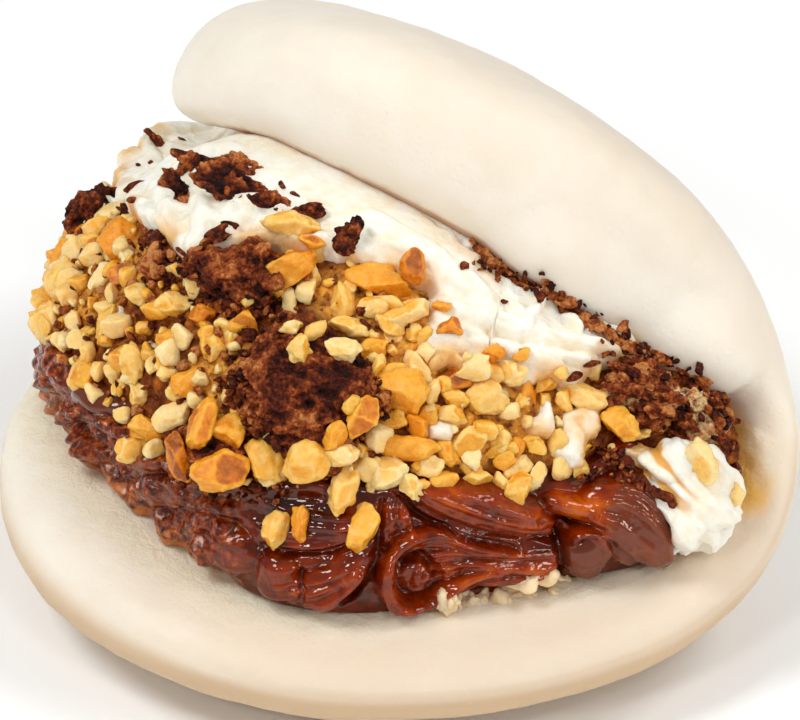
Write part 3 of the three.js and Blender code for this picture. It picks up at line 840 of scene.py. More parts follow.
def painted_shade_places(skin, normals, degrees, shares, inside):
    """Painted shade on the dough, a darker and warmer colour: below, round the rim towards the camera, and
    on the right of its top.
    """
    height = skin[..., 2]
    aside = skin @ RIGHT
    toward = normals @ BACK
    rise = normals[..., 2]
    below = smoothstep(-rise, -0.75, 0.1) * (1 - smoothstep(height, 7, 21))
    below = below * np.where(inside, smoothstep(shares, 0.9, 1), 1)
    near_rim = smoothstep(-rise, -0.98, -0.3) * (1 - smoothstep(height, 16, 30))
    near_rim = near_rim * smoothstep(toward, 0.1, 0.7) * smoothstep(aside, -30, 0)
    rim_zone = np.where(inside, smoothstep(shares, 0.7, 0.95), 1) * (1 - smoothstep(height, 16, 26))
    rim_zone = rim_zone * smoothstep(aside, -34, -6) * smoothstep(toward, -0.1, 0.3)
    right_top = smoothstep(aside, -20, 30) * smoothstep(rise, 0.0, 0.8) * (degrees < 0)
    return np.maximum.reduce([below, 0.66 * near_rim, 0.48 * rim_zone, 0.24 * right_top])


def pole_faces(columns, rows, first_pole):
    """Faces of two columns each that close a ring of columns at both of its ends."""
    even = np.arange(0, columns, 2)
    start = [even * rows, (even + 1) % columns * rows, (even + 2) % columns * rows]
    end = [index + rows - 1 for index in start]
    outer = np.stack([np.full_like(even, first_pole), start[2], start[1], start[0]], -1)
    inner = np.stack([np.full_like(even, first_pole + 1), end[0], end[1], end[2]], -1)
    return np.concatenate([outer, inner])


# The filling's layers


def hidden_point(degrees, height, level, depth):
    """A point behind the filling's front, from depth 1 on it to depth 0 at the back of the filling.

    The level is how high at the back, from 0 on the lower flap to 1 on the upper.
    """
    angle = np.radians(degrees)
    if level == 0:
        return dough(lerp(BACK_SHARE, foot_share(degrees), depth), -angle, INNER, SKIN_LIFT)
    if level == 1:
        return dough(lerp(BACK_SHARE, tuck_share(degrees), depth), angle, INNER, SKIN_LIFT)
    low = dough(BACK_SHARE, -angle, INNER, SKIN_LIFT)
    high = dough(BACK_SHARE, angle, INNER, SKIN_LIFT)
    return lerp(lerp(low, high, level), wall(degrees, height), depth)


def layer_grid(ends, bottom, top, columns, rows):
    """Degrees round the lip, and heights between the functions bottom and top of them."""
    degrees = np.linspace(*ends, columns)
    low = np.broadcast_to(bottom(degrees), degrees.shape)
    high = np.broadcast_to(top(degrees), degrees.shape)
    share = np.linspace(0, 1, rows)[None]
    heights = lerp(low[:, None], high[:, None], share)
    grid = np.broadcast_to(degrees[:, None], heights.shape)
    return grid, heights


HIDDEN_DEPTHS = (0.85, 0.5, 0.1)
SAUCE_LEVELS = (0, 0.24)  # of each layer's lower and upper side at the back of the filling
CORE_LEVELS = (0.24, 1)
CREAM_LEVELS = (0.45, 1)
END_CLOSING = 0.02  # the share of a layer's columns over which its ends close


def close_layer(front, degrees, heights, levels):
    """The ring of points behind a layer's front, and the faces of the closed body."""
    column = degrees[:, 0]
    over = [hidden_point(column, heights[:, -1], levels[1], depth) for depth in HIDDEN_DEPTHS]
    under = [hidden_point(column, heights[:, 0], levels[0], depth) for depth in HIDDEN_DEPTHS[::-1]]
    ring = np.concatenate([front, np.stack(over + under, 1)], axis=1)
    columns, rows = ring.shape[:2]
    middle = 0.5 * (over[-1] + under[0])[:, None]
    reach = np.minimum(np.arange(columns), np.arange(columns)[::-1]) / (columns * END_CLOSING)
    full = np.sqrt(1 - (1 - np.clip(reach, 0.02, 1)) ** 2)[:, None, None]
    ring = lerp(middle, ring, full)
    quads = grid_faces(columns, rows, wrap_columns=True)[:, ::-1]
    return ring.reshape(-1, 3), np.concatenate([quads, end_faces(columns, rows)])


def end_faces(columns, rows):
    """Strips of faces that close the two end rings of a layer."""
    half = rows // 2
    j = np.arange(half - 1)
    near = np.stack([j, j + 1, rows - 2 - j, rows - 1 - j], -1)
    last = (columns - 1) * rows
    return np.concatenate([near, near[:, ::-1] + last])


def make_layer(name, look, replaces, grid, relief, levels, attributes):
    """A closed layer of the filling whose front stands out by the relief in mm. Returns its front."""
    degrees, heights = grid
    front = wall(degrees, heights) + wall_normal(degrees, heights) * relief[..., None]
    points, faces = close_layer(front, degrees, heights, levels)
    spread = {}
    for key, values in attributes.items():
        padded = np.zeros((degrees.shape[0], degrees.shape[1] + 2 * len(HIDDEN_DEPTHS)))
        padded[:, : degrees.shape[1]] = values
        spread[key] = padded.ravel()
    make_mesh(name, points, faces, look, replaces, spread)
    return Surface(front, -grid_normals(front))


# Lobes and drops of the sauce: middle, half axes in pixels, tilt in degrees, height in mm
SAUCE_LOBES = [
    (484, 503, 88, 24, -15, 2.0), (500, 550, 84, 17, -2, 1.7), (516, 568, 58, 13, 8, 1.7),
    (572, 505, 34, 13, -12, 2.4), (624, 516, 54, 46, -14, 2.7), (586, 550, 26, 27, 0, 2.4),
    (648, 534, 20, 34, 20, 2.9), (278, 574, 24, 28, 10, 1.7), (326, 584, 44, 20, 22, 1.6),
    (352, 560, 26, 16, 30, 1.3), (418, 573, 46, 42, 0, 1.2), (50, 372, 14, 28, 0, 1.3),
    (100, 396, 28, 19, -8, 2.2), (62, 418, 14, 9, 20, 1.4), (155, 494, 32, 20, 0, 1.4),
    (215, 545, 46, 28, -25, 1.4), (120, 430, 26, 9, -20, 1.2), (84, 452, 24, 8, -35, 1.3),
    (150, 462, 26, 9, -12, 1.2), (320, 516, 60, 16, -6, 0.5),
]
# Thick ropes of the sauce: line, half width in pixels, height in mm
SAUCE_ROPES = [
    (
        [(400, 548), (388, 560), (384, 578), (391, 595), (408, 605), (426, 605), (442, 594), (458, 576)],
        11, 2.3,
    ),
    ([(384, 566), (396, 546), (416, 535), (440, 532), (470, 540), (505, 546)], 9, 2.0),
    ([(410, 573), (417, 574)], 12, 2.1),
    ([(434, 600), (452, 580), (476, 566), (505, 562)], 9, 2.0),
    ([(314, 602), (336, 592), (352, 576), (364, 562)], 10, 2.0),
    ([(476, 500), (505, 508), (536, 518)], 9, 2.3),
    ([(566, 540), (573, 529), (586, 526), (602, 532)], 6, 2.9),
]
# Grooves between them: line, half width in pixels, depth in mm
SAUCE_GROOVES = [
    ([(396, 490), (418, 513), (448, 529), (478, 538), (514, 544)], 4, 1.2),
    ([(560, 518), (557, 535), (560, 560), (556, 578)], 6, 1.2),
    ([(538, 508), (560, 518), (600, 524)], 4, 0.9),
    ([(604, 532), (610, 548), (600, 570)], 4, 0.7),
    ([(384, 498), (380, 525), (378, 552)], 4, 0.8),
    ([(258, 545), (300, 553), (345, 546), (372, 536)], 4, 0.8),
    ([(300, 604), (306, 590), (300, 566)], 4, 0.8),
    ([(336, 606), (356, 592), (370, 574), (380, 560)], 4, 0.9),
    ([(430, 560), (436, 572), (432, 586)], 6, 1.0),
    ([(462, 598), (490, 584), (520, 577), (552, 572)], 3, 0.7),
    ([(452, 553), (476, 552), (510, 552), (550, 550)], 3, 0.5),
    (
        [
            (395, 573), (400, 558), (413, 552), (426, 558), (431, 573), (426, 588), (413, 594), (400, 588),
            (395, 573),
        ],
        6, 1.5,
    ),
]
# Sheets of fine strands between two guide lines: guides, strands, half width in pixels, height in mm
SAUCE_STRANDS = [
    (
        [(418, 474), (446, 485), (490, 495), (530, 505), (558, 512)],
        [(398, 488), (420, 510), (452, 526), (490, 536), (552, 542)],
        12, 4, 0.55,
    ),
    (
        [(398, 548), (418, 537), (445, 537), (475, 544), (510, 548), (554, 547)],
        [(430, 604), (446, 586), (468, 572), (495, 564), (554, 562)],
        13, 3.4, 0.6,
    ),
    (
        [(440, 608), (462, 594), (490, 585), (558, 574)],
        [(478, 576), (496, 566), (525, 561), (558, 563)],
        7, 3.4, 0.5,
    ),
    (
        [(384, 552), (379, 575), (386, 596), (404, 610), (426, 611), (444, 602)],
        [(400, 556), (395, 574), (401, 588), (413, 596), (428, 597)],
        5, 3.4, 0.45,
    ),
    (
        [(300, 602), (330, 598), (354, 582), (374, 556)],
        [(262, 562), (300, 567), (340, 557), (378, 538)],
        6, 5, 0.35,
    ),
    (
        [(256, 498), (300, 510), (350, 518), (386, 502)],
        [(262, 545), (310, 550), (350, 545), (380, 530)],
        7, 5, 0.3,
    ),
    (
        [(584, 480), (625, 482), (656, 508), (662, 542)],
        [(586, 530), (600, 548), (622, 562), (642, 560)],
        9, 4.5, 0.4,
    ),
    ([(386, 500), (380, 520), (384, 545)], [(400, 495), (408, 512), (412, 532)], 5, 3.4, 0.5),
]
# Hollows in the shade under the nuts
SAUCE_HOLLOWS = [(300, 512, 62, 22, -4, 0.9), (220, 495, 36, 12, -8, 0.6), (632, 560, 7, 6, 0, 1.8)]
# Drops of the sauce that look lighter or darker, and painted shade in the hole at (632, 560): middle and
# reach in pixels
LIGHT_DROPS = [(574, 500, 30)]
DARK_DROPS_AND_HOLE_SHADE = [(100, 396, 32), (632, 560, 16)]
# Where the sauce is milkier: middle and half axes in pixels, and how much
MILKY_PLACES = [
    (638, 520, 44, 56, 0.75), (586, 556, 30, 26, 0.75), (100, 396, 32, 22, 0.75), (52, 376, 18, 30, 0.75),
]
SAUCE_ENDS = (6, 169)  # degrees round the lip
SAUCE_COLUMNS = 580
SAUCE_ROWS = 110
STRAND_RISE = 1.2
BLEND = 3.5  # how sharply lobes of the sauce meet
TALL_LOBE = 1.65  # mm above which a lobe is smooth where the sauce round it is crumbly
FOOT_PULL = 2.0  # mm by which the foot draws back where the sauce is crumbly
SAUCE_SPILL = 0.06  # how far the sauce reaches behind the crumb, as a share of the front's height
STRAND_POINTS = 20
STRAND_SEED = 41


def ridge(pixels, path, reach, height, taper=4):
    """A rounded ridge along a path in the picture that thins out at its ends."""
    near = ((pixels > path.min(0) - reach) & (pixels < path.max(0) + reach)).all(1)
    result = np.zeros(len(pixels))
    if near.any():
        distance, where = path_distance(pixels[near], path)
        ends = np.clip(1 - np.abs(2 * where - 1) ** taper, 0, 1) ** 0.5
        result[near] = height * ends * np.clip(1 - (distance / reach) ** 2, 0, None) ** 0.8
    return result


def evenly(line):
    """A line's smooth path as evenly spaced points."""
    path = smooth_path(line)
    run = np.concatenate([[0], np.cumsum(np.linalg.norm(np.diff(path, axis=0), axis=1))])
    at = np.linspace(0, run[-1], STRAND_POINTS)
    return np.stack([np.interp(at, run, path[:, 0]), np.interp(at, run, path[:, 1])], -1)


def strand_sheet(pixels, first, last, count, reach, height, random):
    """Fine strands side by side from one guide line to another."""
    result = np.zeros(len(pixels))
    a = evenly(first)
    b = evenly(last)
    steps = STRAND_POINTS - 1
    for k in range(count):
        share = (k + random.uniform(0.2, 0.8)) / count
        aside = random.normal(size=2) * 1.2
        drift = np.cumsum(random.normal(size=(STRAND_POINTS, 2)), axis=0) * 0.35
        start, end = sorted(random.uniform(0, 1, 2) ** (0.3, 3.0))
        path = lerp(a, b, share) + (aside + drift)
        path = path[int(steps * start * 0.4) : STRAND_POINTS - int(steps * (1 - end) * 0.4)]
        if len(path) > 3:
            thick = reach * random.uniform(0.6, 1.3)
            result = np.maximum(result, ridge(pixels, path, thick, height * random.uniform(0.4, 1.2), 6))
    return result


def oval(pixels, x, y, half_width, half_height, tilt=0):
    """How far inside a tilted oval of the picture each place is, from 1 in its middle to 0 at its edge."""
    c = math.cos(math.radians(tilt))
    s = math.sin(math.radians(tilt))
    across = (pixels[..., 0] - x) * c - (pixels[..., 1] - y) * s
    down = (pixels[..., 0] - x) * s + (pixels[..., 1] - y) * c
    return np.clip(1 - (across / half_width) ** 2 - (down / half_height) ** 2, 0, 1)


def oval_heights(pixels, ovals):
    """The heights in mm of rounded ovals of the picture, added up."""
    return sum(height * oval(pixels, *place) ** 0.7 for *place, height in ovals)


def oval_patches(pixels, ovals, edge):
    """The share of a patch at each place, full inside an oval and none at its edge."""
    return np.maximum.reduce([share * smoothstep(oval(pixels, *place), 0, edge) for *place, share in ovals])


def sauce_rim(degrees):
    """The upper edge of the sauce, hidden behind the crumb."""
    return sauce_top(degrees) + SAUCE_SPILL


def sauce_lobes(flat):
    """The height of the sauce's lobes and ropes in mm, and how much of a place is on a tall lobe."""
    heights = np.zeros(len(flat))
    tall = np.zeros(len(flat))
    for *place, height in SAUCE_LOBES:
        inside = oval(flat, *place)
        heights = heights + (height * inside**0.6) ** BLEND
        tall = np.maximum(tall, smoothstep(inside, 0, 0.3) * (height > TALL_LOBE))
    for line, *measures in SAUCE_ROPES:
        heights = heights + ridge(flat, smooth_path(line), *measures) ** BLEND
    return heights ** (1 / BLEND), tall


def sauce_strands(flat):
    random = np.random.default_rng(STRAND_SEED)
    sheets = [strand_sheet(flat, *sheet, random) for sheet in SAUCE_STRANDS]
    return np.maximum.reduce([np.zeros(len(flat)), *sheets])


def sauce_grooves(flat):
    grooves = [ridge(flat, smooth_path(line), *measures) for line, *measures in SAUCE_GROOVES]
    return np.maximum.reduce([np.zeros(len(flat)), *grooves])


def crumbly_sauce(base):
    """Relief in mm of the crumbly left end."""
    ridges = 1 - np.abs(fractal(base * np.array([0.8, 0.8, 1.2]), 4.0, 2, 31, 0.5)) * 2.2
    lumps, _ = cells(base + 0.5 * noise(base, 1.5, 35)[..., None], 2.3, 34)
    return 0.7 * np.clip(ridges, -0.6, 1) + 0.16 * fractal(base, 1.0, 2, 32) + 1.3 * (0.6 - lumps)


def make_sauce(look):
    grid = layer_grid(SAUCE_ENDS, lambda d: 0, sauce_rim, SAUCE_COLUMNS, SAUCE_ROWS)
    degrees, heights = grid
    base = wall(degrees, heights)
    facing = (wall_normal(degrees, heights) * toward_camera(base)).sum(-1) > -0.25
    pixels = np.where(facing[..., None], to_pixels(base), -999.0)
    flat = pixels.reshape(-1, 2) + 2.5 * noise(base.reshape(-1, 3), 5, 19)[:, None]
    shapes, tall = (part.reshape(degrees.shape) for part in sauce_lobes(flat))
    strands = sauce_strands(flat)
    shapes = shapes + (STRAND_RISE * strands - sauce_grooves(flat)).reshape(degrees.shape)
    hollow = np.maximum.reduce([depth * oval(pixels, *place) for *place, depth in SAUCE_HOLLOWS])
    crumbly = smoothstep(degrees, 70, 80) * (0.9 + 0.6 * noise(base, 4, 11))
    crumbly = np.clip(crumbly * (1 - tall), 0, 1)
    flow = 0.35 * fractal(base * np.array([0.5, 0.5, 1.5]), 4.5, 2, 21, 0.55)
    ripples = 0.10 * fractal(base * np.array([0.6, 0.6, 1.6]), 1.6, 2, 33)
    foot = lerp(smoothstep(heights, 0, 0.035), 1, 0.8 * smoothstep(degrees, 70, 90))
    relief = foot * (shapes - hollow + ripples + lerp(flow, crumbly_sauce(base), crumbly))
    top = smoothstep(sauce_rim(degrees) - heights, 0, 0.07)
    relief = relief * lerp(0.2, 1, top) - 1.2 * (1 - top)
    pulled = smoothstep(degrees, 68, 84) * smoothstep(degrees, 140, 120)
    pulled = pulled * (1 - smoothstep(heights, 0.0, 0.26))
    relief = relief - FOOT_PULL * pulled * (1 + 0.7 * noise(base, 4, 36))
    # Painted light and shade in the colour: lighter where the relief and the strands stand out, darker in
    # the hollows under the nuts.
    thick = 0.36 + 0.07 * relief + 0.35 * strands.reshape(degrees.shape) - 0.25 * hollow
    for x, y, reach in LIGHT_DROPS:
        thick = thick + 0.45 * oval(pixels, x, y, reach, 0.7 * reach, -15)
    # A darker drop keeps its own colour; the hole gets painted shade.
    for x, y, reach in DARK_DROPS_AND_HOLE_SHADE:
        thick = thick - 0.25 * oval(pixels, x, y, reach, reach) ** 0.5
    fringe = 0.7 * (1 - smoothstep(heights + 0.06 * fractal(base, 1.6, 3, 22), 0.0, 0.035))
    spread = {
        "crumbly": crumbly,
        "thick": np.clip(thick, 0, 1),
        "fringe": np.clip(fringe, 0, 1),
        "milky": oval_patches(pixels, MILKY_PLACES, 0.5),
    }
    nodes = ["chocolate_sauce"]
    return make_layer("chocolate_sauce_flow", look, nodes, grid, relief, SAUCE_LEVELS, spread)


# Where the filling's core is dark brownie, and painted shade in its darker recesses: pixel and reach in mm
DARK_AND_SHADED_PLACES = [
    (300, 370, 10), (340, 320, 5), (95, 205, 4), (235, 285, 6), (190, 440, 5), (655, 410, 7), (560, 300, 6),
    (728, 420, 7), (150, 400, 4), (130, 310, 3), (150, 260, 4),
]

# Where syrup of the nuts soaks it to gold: pixel and reach in mm
GOLD_PLACES = [
    (400, 300, 8), (430, 345, 6), (120, 270, 6), (80, 300, 5), (500, 410, 6), (560, 430, 5), (270, 440, 5),
    (215, 370, 5), (470, 450, 5), (340, 290, 4),
]
CORE_ENDS = (6, 168)
CORE_COLUMNS = 400
CORE_ROWS = 106
CORE_SUNK = 0.5  # mm behind the filling's front, where the loose pieces lie


def make_crumb(look):
    grid = layer_grid(CORE_ENDS, lambda d: sauce_top(d) - 0.05, lambda d: 0.97, CORE_COLUMNS, CORE_ROWS)
    degrees, heights = grid
    base = wall(degrees, heights)
    lumps, _ = cells(base, 1.7, 41)
    grains, _ = cells(base, 0.95, 45)
    fine, _ = cells(base, 0.6, 46)
    above = heights - sauce_top(degrees)
    tucked = 1.3 * (1 - smoothstep(above, -0.01, 0.07))
    relief = -CORE_SUNK - tucked + 0.25 * (0.5 - fine) + 0.4 * (0.55 - grains) + 0.6 * (0.7 - lumps)
    relief = relief + 0.5 * fractal(base, 3.5, 3, 42) + 0.15 * fractal(base, 0.7, 2, 43)
    above_sauce = smoothstep(above, 0.03, 0.10)
    # Amber crumb away from the dark places, which are dark brownie and painted shade in recesses.
    amber = (1 - near_places(base, DARK_AND_SHADED_PLACES, 0.7)) * (0.75 + 0.5 * noise(base, 4, 44)) * above_sauce
    spread = {"amber": np.clip(amber, 0, 1), "gold": near_places(base, GOLD_PLACES, 0.5) * above_sauce}
    return make_layer("crumb_core", look, ["crumb_filling"], grid, relief, CORE_LEVELS, spread)


# Where cream shows: outlines in pixels
CREAM_REGIONS = [
    [
        (112, 186), (116, 160), (132, 138), (160, 128), (200, 122), (262, 138), (334, 168), (404, 208),
        (458, 242), (484, 262), (520, 284), (548, 292), (574, 306), (600, 326), (630, 344), (652, 376),
        (636, 382), (616, 366), (600, 372), (590, 384), (574, 392), (556, 386), (536, 384), (524, 392),
        (500, 380), (486, 372), (474, 384), (462, 378), (446, 368), (428, 376), (420, 340), (430, 312),
        (424, 290), (400, 284), (350, 266), (318, 258), (290, 252), (262, 248), (222, 252), (196, 266),
        (182, 282), (178, 262), (170, 244), (150, 232), (136, 222), (122, 206),
    ],
    [
        (548, 446), (560, 430), (566, 412), (580, 396), (594, 392), (608, 402), (604, 432), (592, 446),
        (582, 468), (568, 474), (552, 462),
    ],
    [(518, 424), (534, 414), (542, 394), (556, 398), (560, 430), (550, 442), (532, 436)],
    [
        (116, 300), (124, 300), (126, 330), (150, 338), (160, 350), (120, 352), (94, 350), (98, 338),
        (114, 334),
    ],
    [(422, 424), (438, 416), (454, 424), (452, 442), (430, 440)],
    [(660, 394), (690, 386), (716, 392), (722, 410), (700, 416), (676, 410)],
    [(616, 446), (640, 440), (660, 450), (648, 470), (628, 466)],
]
# The way the cream is smeared, as two pixels
SMEAR = ((300, 215), (640, 378))
# Swooshes and torn folds of the cream: line of pixels, half width in pixels, height in mm
CREAM_ROPES = [
    ([(120, 185), (128, 160), (148, 142), (178, 134)], 12, 1.4),
    ([(124, 150), (150, 131), (186, 127), (215, 130)], 9, 1.6),
    ([(150, 200), (170, 176), (205, 160), (250, 160)], 14, 1.0),
    ([(146, 160), (160, 180), (170, 210), (172, 235)], 10, 1.2),
    ([(130, 205), (148, 214), (164, 232), (176, 256)], 9, 1.3),
    ([(190, 190), (206, 212), (200, 240), (190, 262)], 10, 1.3),
    ([(212, 215), (226, 232), (240, 240)], 8, 1.1),
    ([(230, 205), (270, 210), (320, 212), (350, 210)], 12, 0.9),
    ([(240, 240), (280, 242), (330, 252), (372, 256)], 10, 1.0),
    ([(360, 215), (390, 240), (430, 262), (470, 300)], 16, 1.2),
    ([(428, 268), (452, 280), (480, 300), (502, 330)], 14, 1.5),
    ([(436, 300), (470, 318), (520, 332), (560, 345)], 12, 1.3),
    ([(432, 330), (450, 344), (468, 352)], 11, 1.7),
    ([(480, 340), (510, 352), (545, 370), (572, 384)], 9, 1.8),
    ([(510, 330), (550, 342), (600, 356), (640, 380)], 8, 1.9),
    ([(520, 350), (556, 362), (590, 368)], 6, 1.9),
    ([(536, 296), (534, 310), (524, 326), (528, 340)], 6, 2.1),
    ([(556, 318), (568, 330), (574, 346)], 6, 2.0),
    ([(583, 312), (584, 326), (582, 340)], 4, 2.2),
    ([(560, 322), (592, 332), (622, 352), (644, 374)], 5, 2.1),
    ([(566, 420), (572, 440), (566, 462)], 9, 1.2),
    ([(440, 350), (450, 362), (462, 372)], 8, 1.4),
]
# Places where the cream stands out: pixel, reach and height in mm
CREAM_BULGES = [(135, 160, 7, 1.8), (165, 138, 6, 1.2), (125, 195, 5, 1.0)]
# Where the cream lies smooth under the lip
CALM_LINE = [(200, 128), (262, 150), (330, 180), (395, 215), (450, 250)]
CREAM_ENDS = (10, 164)
CREAM_COLUMNS = 460
CREAM_ROWS = 124
CREAM_EDGE = 1.4  # mm over which the cream rounds off at its edge
CREAM_DEPTH = 1.3
CREAM_SUNK = -1.6
LIP_ZONE = 0.9  # the height from which the front is cream all along the lip
SHARE_MM = 30  # mm that the front is high, roughly


def cream_foot(degrees):
    """The lower edge of the cream's mesh, which reaches lower towards the right end."""
    return np.where(degrees < 48, 0.28, 0.36)


def cream_depth(degrees, heights, base):
    """Distance in mm to the cream's edge, positive inside."""
    depth = np.full(degrees.shape, -9.0)
    for outline in CREAM_REGIONS:
        depth = np.maximum(depth, region_depth(degrees, heights, base, outline))
    behind = (heights - crumb_top(degrees)) * 25
    depth = np.where(degrees > 128, np.maximum(depth, behind), depth)
    under_lip = (heights - LIP_ZONE) * SHARE_MM * smoothstep(degrees, 48, 54)
    depth = np.maximum(depth, np.where(degrees > 48, under_lip, -9))
    return depth + 0.5 * fractal(base, 2.2, 3, 51)


def make_cream(look):
    grid = layer_grid(CREAM_ENDS, cream_foot, lambda d: 1, CREAM_COLUMNS, CREAM_ROWS)
    degrees, heights = grid
    base = wall(degrees, heights)
    depth = cream_depth(degrees, heights, base)
    edge = np.clip(depth / CREAM_EDGE, 0, 1)
    cover = np.sqrt(1 - (1 - edge) ** 2)
    ropes = np.zeros(degrees.shape)
    for line, *measures in CREAM_ROPES:
        ropes = np.maximum(ropes, rope(base, line, *measures))
    first, last = (WALL.points[WALL.at(x, y)] for x, y in SMEAR)
    smear = unit(last - first)
    along = (base - first) @ smear
    across = base - first - along[..., None] * smear
    streaks = fractal(across / 1.1 + (along / 9)[..., None] * smear, 1.0, 3, 54, 0.6)
    smeared = smoothstep(degrees, 104, 84)
    pits, _ = cells(base, 2.6, 55)
    whip = 0.45 * fractal(base, 4, 3, 52, 0.6) + 0.12 * fractal(base, 1.2, 2, 53)
    whip = whip - 0.5 * (1 - smoothstep(pits, 0.12, 0.5)) * (1 - smeared) + 0.30 * streaks * smeared
    lip_distance, _ = path_distance(base.reshape(-1, 3), WALL.path(CALM_LINE))
    calm = 1 - smoothstep(lip_distance.reshape(degrees.shape), 1.5, 5.5)
    whip = whip * (1 - 0.85 * calm)
    for x, y, reach, height in CREAM_BULGES:
        distance = np.linalg.norm(base - WALL.points[WALL.at(x, y)], axis=-1)
        whip = whip + height * bump(distance, 0, reach)
    relief = CREAM_SUNK + cover * (CREAM_DEPTH - CREAM_SUNK + 0.7 * ropes + whip)
    relief = relief * smoothstep(1.03 - heights, 0, 0.05)
    soaked = (1 - smoothstep(depth, 0.5, 3.4)) * smoothstep(noise(base, 3.5, 56), -0.4, 0.3)
    soaked = 0.9 * soaked * smoothstep(0.93 - heights, 0, 0.1)
    crease = 0.32 * smoothstep(-streaks, 0.25, 0.9) * smeared * (1 - calm)
    spread = {"crease": np.maximum(crease, soaked)}
    return make_layer("cream_whipped", look, ["cream"], grid, relief, CREAM_LEVELS, spread)


# How far each brownie's broken skin stands out from its solid on the whole, in mm
BROWNIE_SWELL = {"brownie_strip": -0.6, "brownie_left": -0.4, "brownie_middle": 0.2, "brownie_upper": -0.5}
# How light a brownie is, apart from its relief
BROWNIE_TONE = 0.46
BROWNIE_TONES = {"brownie_left": 0.24, "brownie_right": 0.54, "brownie_edge": 0.54}
# Where cream and nut are smeared over the brownies: middle and half axes in pixels, and how much of it shows
PALE_SMEARS = [
    (694, 398, 34, 13, 1.0), (706, 428, 22, 18, 0.6), (664, 446, 18, 10, 0.8), (625, 398, 16, 14, 0.6),
]
# Where the upper brownie is fuller or hollower than its solid: middle and half axes in pixels, height in mm
WEDGE_SHAPES = [(205, 232, 44, 20, -1.4), (280, 300, 34, 30, 1.2), (182, 300, 20, 22, -0.8)]
LARGE_BROWNIES = ("brownie_middle", "brownie_upper", "brownie_strip", "brownie_left")


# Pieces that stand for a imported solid, from the solid's own form


def refined(node, cuts, smooth_steps):
    """The node's points and faces in mm, with each face split and the corners eased."""
    copy = bmesh.new()
    copy.from_mesh(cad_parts[node].data)
    bmesh.ops.remove_doubles(copy, verts=copy.verts, dist=1e-6)
    bmesh.ops.triangulate(copy, faces=copy.faces)
    for _ in range(cuts):
        bmesh.ops.subdivide_edges(copy, edges=copy.edges, cuts=1, use_grid_fill=True)
        bmesh.ops.triangulate(copy, faces=copy.faces)
        for _ in range(smooth_steps):
            axes = {f"use_axis_{axis}": True for axis in "xyz"}
            bmesh.ops.smooth_vert(copy, verts=copy.verts, factor=0.5, **axes)
    copy.normal_update()
    points = np.array([vertex.co[:] for vertex in copy.verts]) / MM
    normals = np.array([vertex.normal[:] for vertex in copy.verts])
    faces = np.array([[vertex.index for vertex in face.verts] for face in copy.faces])
    copy.free()
    return points, normals, faces


def make_brownies(look):
    """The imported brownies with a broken, crumbly skin. Returns their surface."""
    names = sorted(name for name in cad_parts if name.startswith("brownie_"))
    surface = None
    for k, name in enumerate(names):
        large = name in LARGE_BROWNIES
        points, normals, faces = refined(name, 4 if large else 3, 0 if large else 1)
        layered = points * np.array([0.7, 0.7, 1.3])
        ridges = 0.5 - np.abs(fractal(layered, 2.6, 3, 60 + k, 0.6))
        grains, _ = cells(points + 0.3 * noise(points, 0.8, 9)[:, None], 1.0, 65 + k)
        broken = 0.6 * fractal(points, 4.6, 2, 70 + k) + 0.25 * fractal(points, 0.9, 3, 75 + k, 0.6)
        broken = broken + 0.5 * (0.55 - grains)
        relief = BROWNIE_SWELL.get(name, 0.0) + 0.8 * ridges + broken
        pixels = to_pixels(points)
        if name == "brownie_upper":
            relief = relief + oval_heights(pixels, WEDGE_SHAPES)
        skin = points + normals * relief[:, None]
        # Colour follows the relief over each brownie's own tone: painted light on ridges, painted shade in
        # the broken hollows.
        high = BROWNIE_TONES.get(name, BROWNIE_TONE) + 0.6 * ridges + 0.5 * broken
        spread = {"high": high, "smear": oval_patches(pixels, PALE_SMEARS, 0.3)}
        make_mesh(name + "_crumb", skin, faces, look, [name], spread)
        piece = Surface(skin, normals)
        surface = piece if surface is None else surface.with_layer(piece)
    return surface


# Where the lump of cream is fuller or hollower than its solid: middle and half axes in pixels, height in mm
LUMP_SHAPES = [
    (686, 530, 16, 20, 1.2), (716, 512, 26, 18, 0.9), (668, 462, 30, 22, 0.8), (640, 458, 20, 16, 0.8),
    (742, 548, 26, 30, -2.2), (742, 452, 22, 24, -1.6), (652, 540, 22, 34, -1.8), (702, 548, 9, 22, -1.0),
]
LUMP_BASE = 0.3


def make_lump(look):
    points, normals, faces = refined("cream_lump", 4, 1)
    down_right = unit(RIGHT - UP)
    up_right = unit(RIGHT + UP)
    stretched = np.stack([points @ down_right / 6, points @ up_right / 1.1, points @ BACK / 3], -1)
    streaks = fractal(stretched, 1.0, 2, 81, 0.4)
    pixels = to_pixels(points)
    facing = smoothstep((normals * toward_camera(points)).sum(-1), -0.3, 0.2)
    relief = LUMP_BASE + 0.5 * streaks + 0.25 * fractal(points, 3.2, 2, 82)
    relief = relief + oval_heights(pixels, LUMP_SHAPES) * facing
    upper_left = smoothstep(740 - pixels[:, 0] - (pixels[:, 1] - 440) * 0.7, -20, 30)
    crease = smoothstep(-streaks, 0.08, 0.4) * upper_left
    skin = points + normals * relief[:, None]
    make_mesh("cream_lump_whipped", skin, faces, look, ["cream_lump"], {"crease": crease})
    return Surface(skin, normals)


# Loose pieces


def ball(level):
    """Points and faces of a unit sphere from a split icosahedron."""
    made = bmesh.new()
    bmesh.ops.create_icosphere(made, subdivisions=level, radius=1)
    points = np.array([vertex.co[:] for vertex in made.verts])
    faces = np.array([[vertex.index for vertex in face.verts] for face in made.faces])
    made.free()
    return points, faces


BALLS = {level: ball(level) for level in (2, 3, 4, 5)}
CHUNK_EDGE = 0.11  # how soft the edges of a chunk's cuts are, against its radius


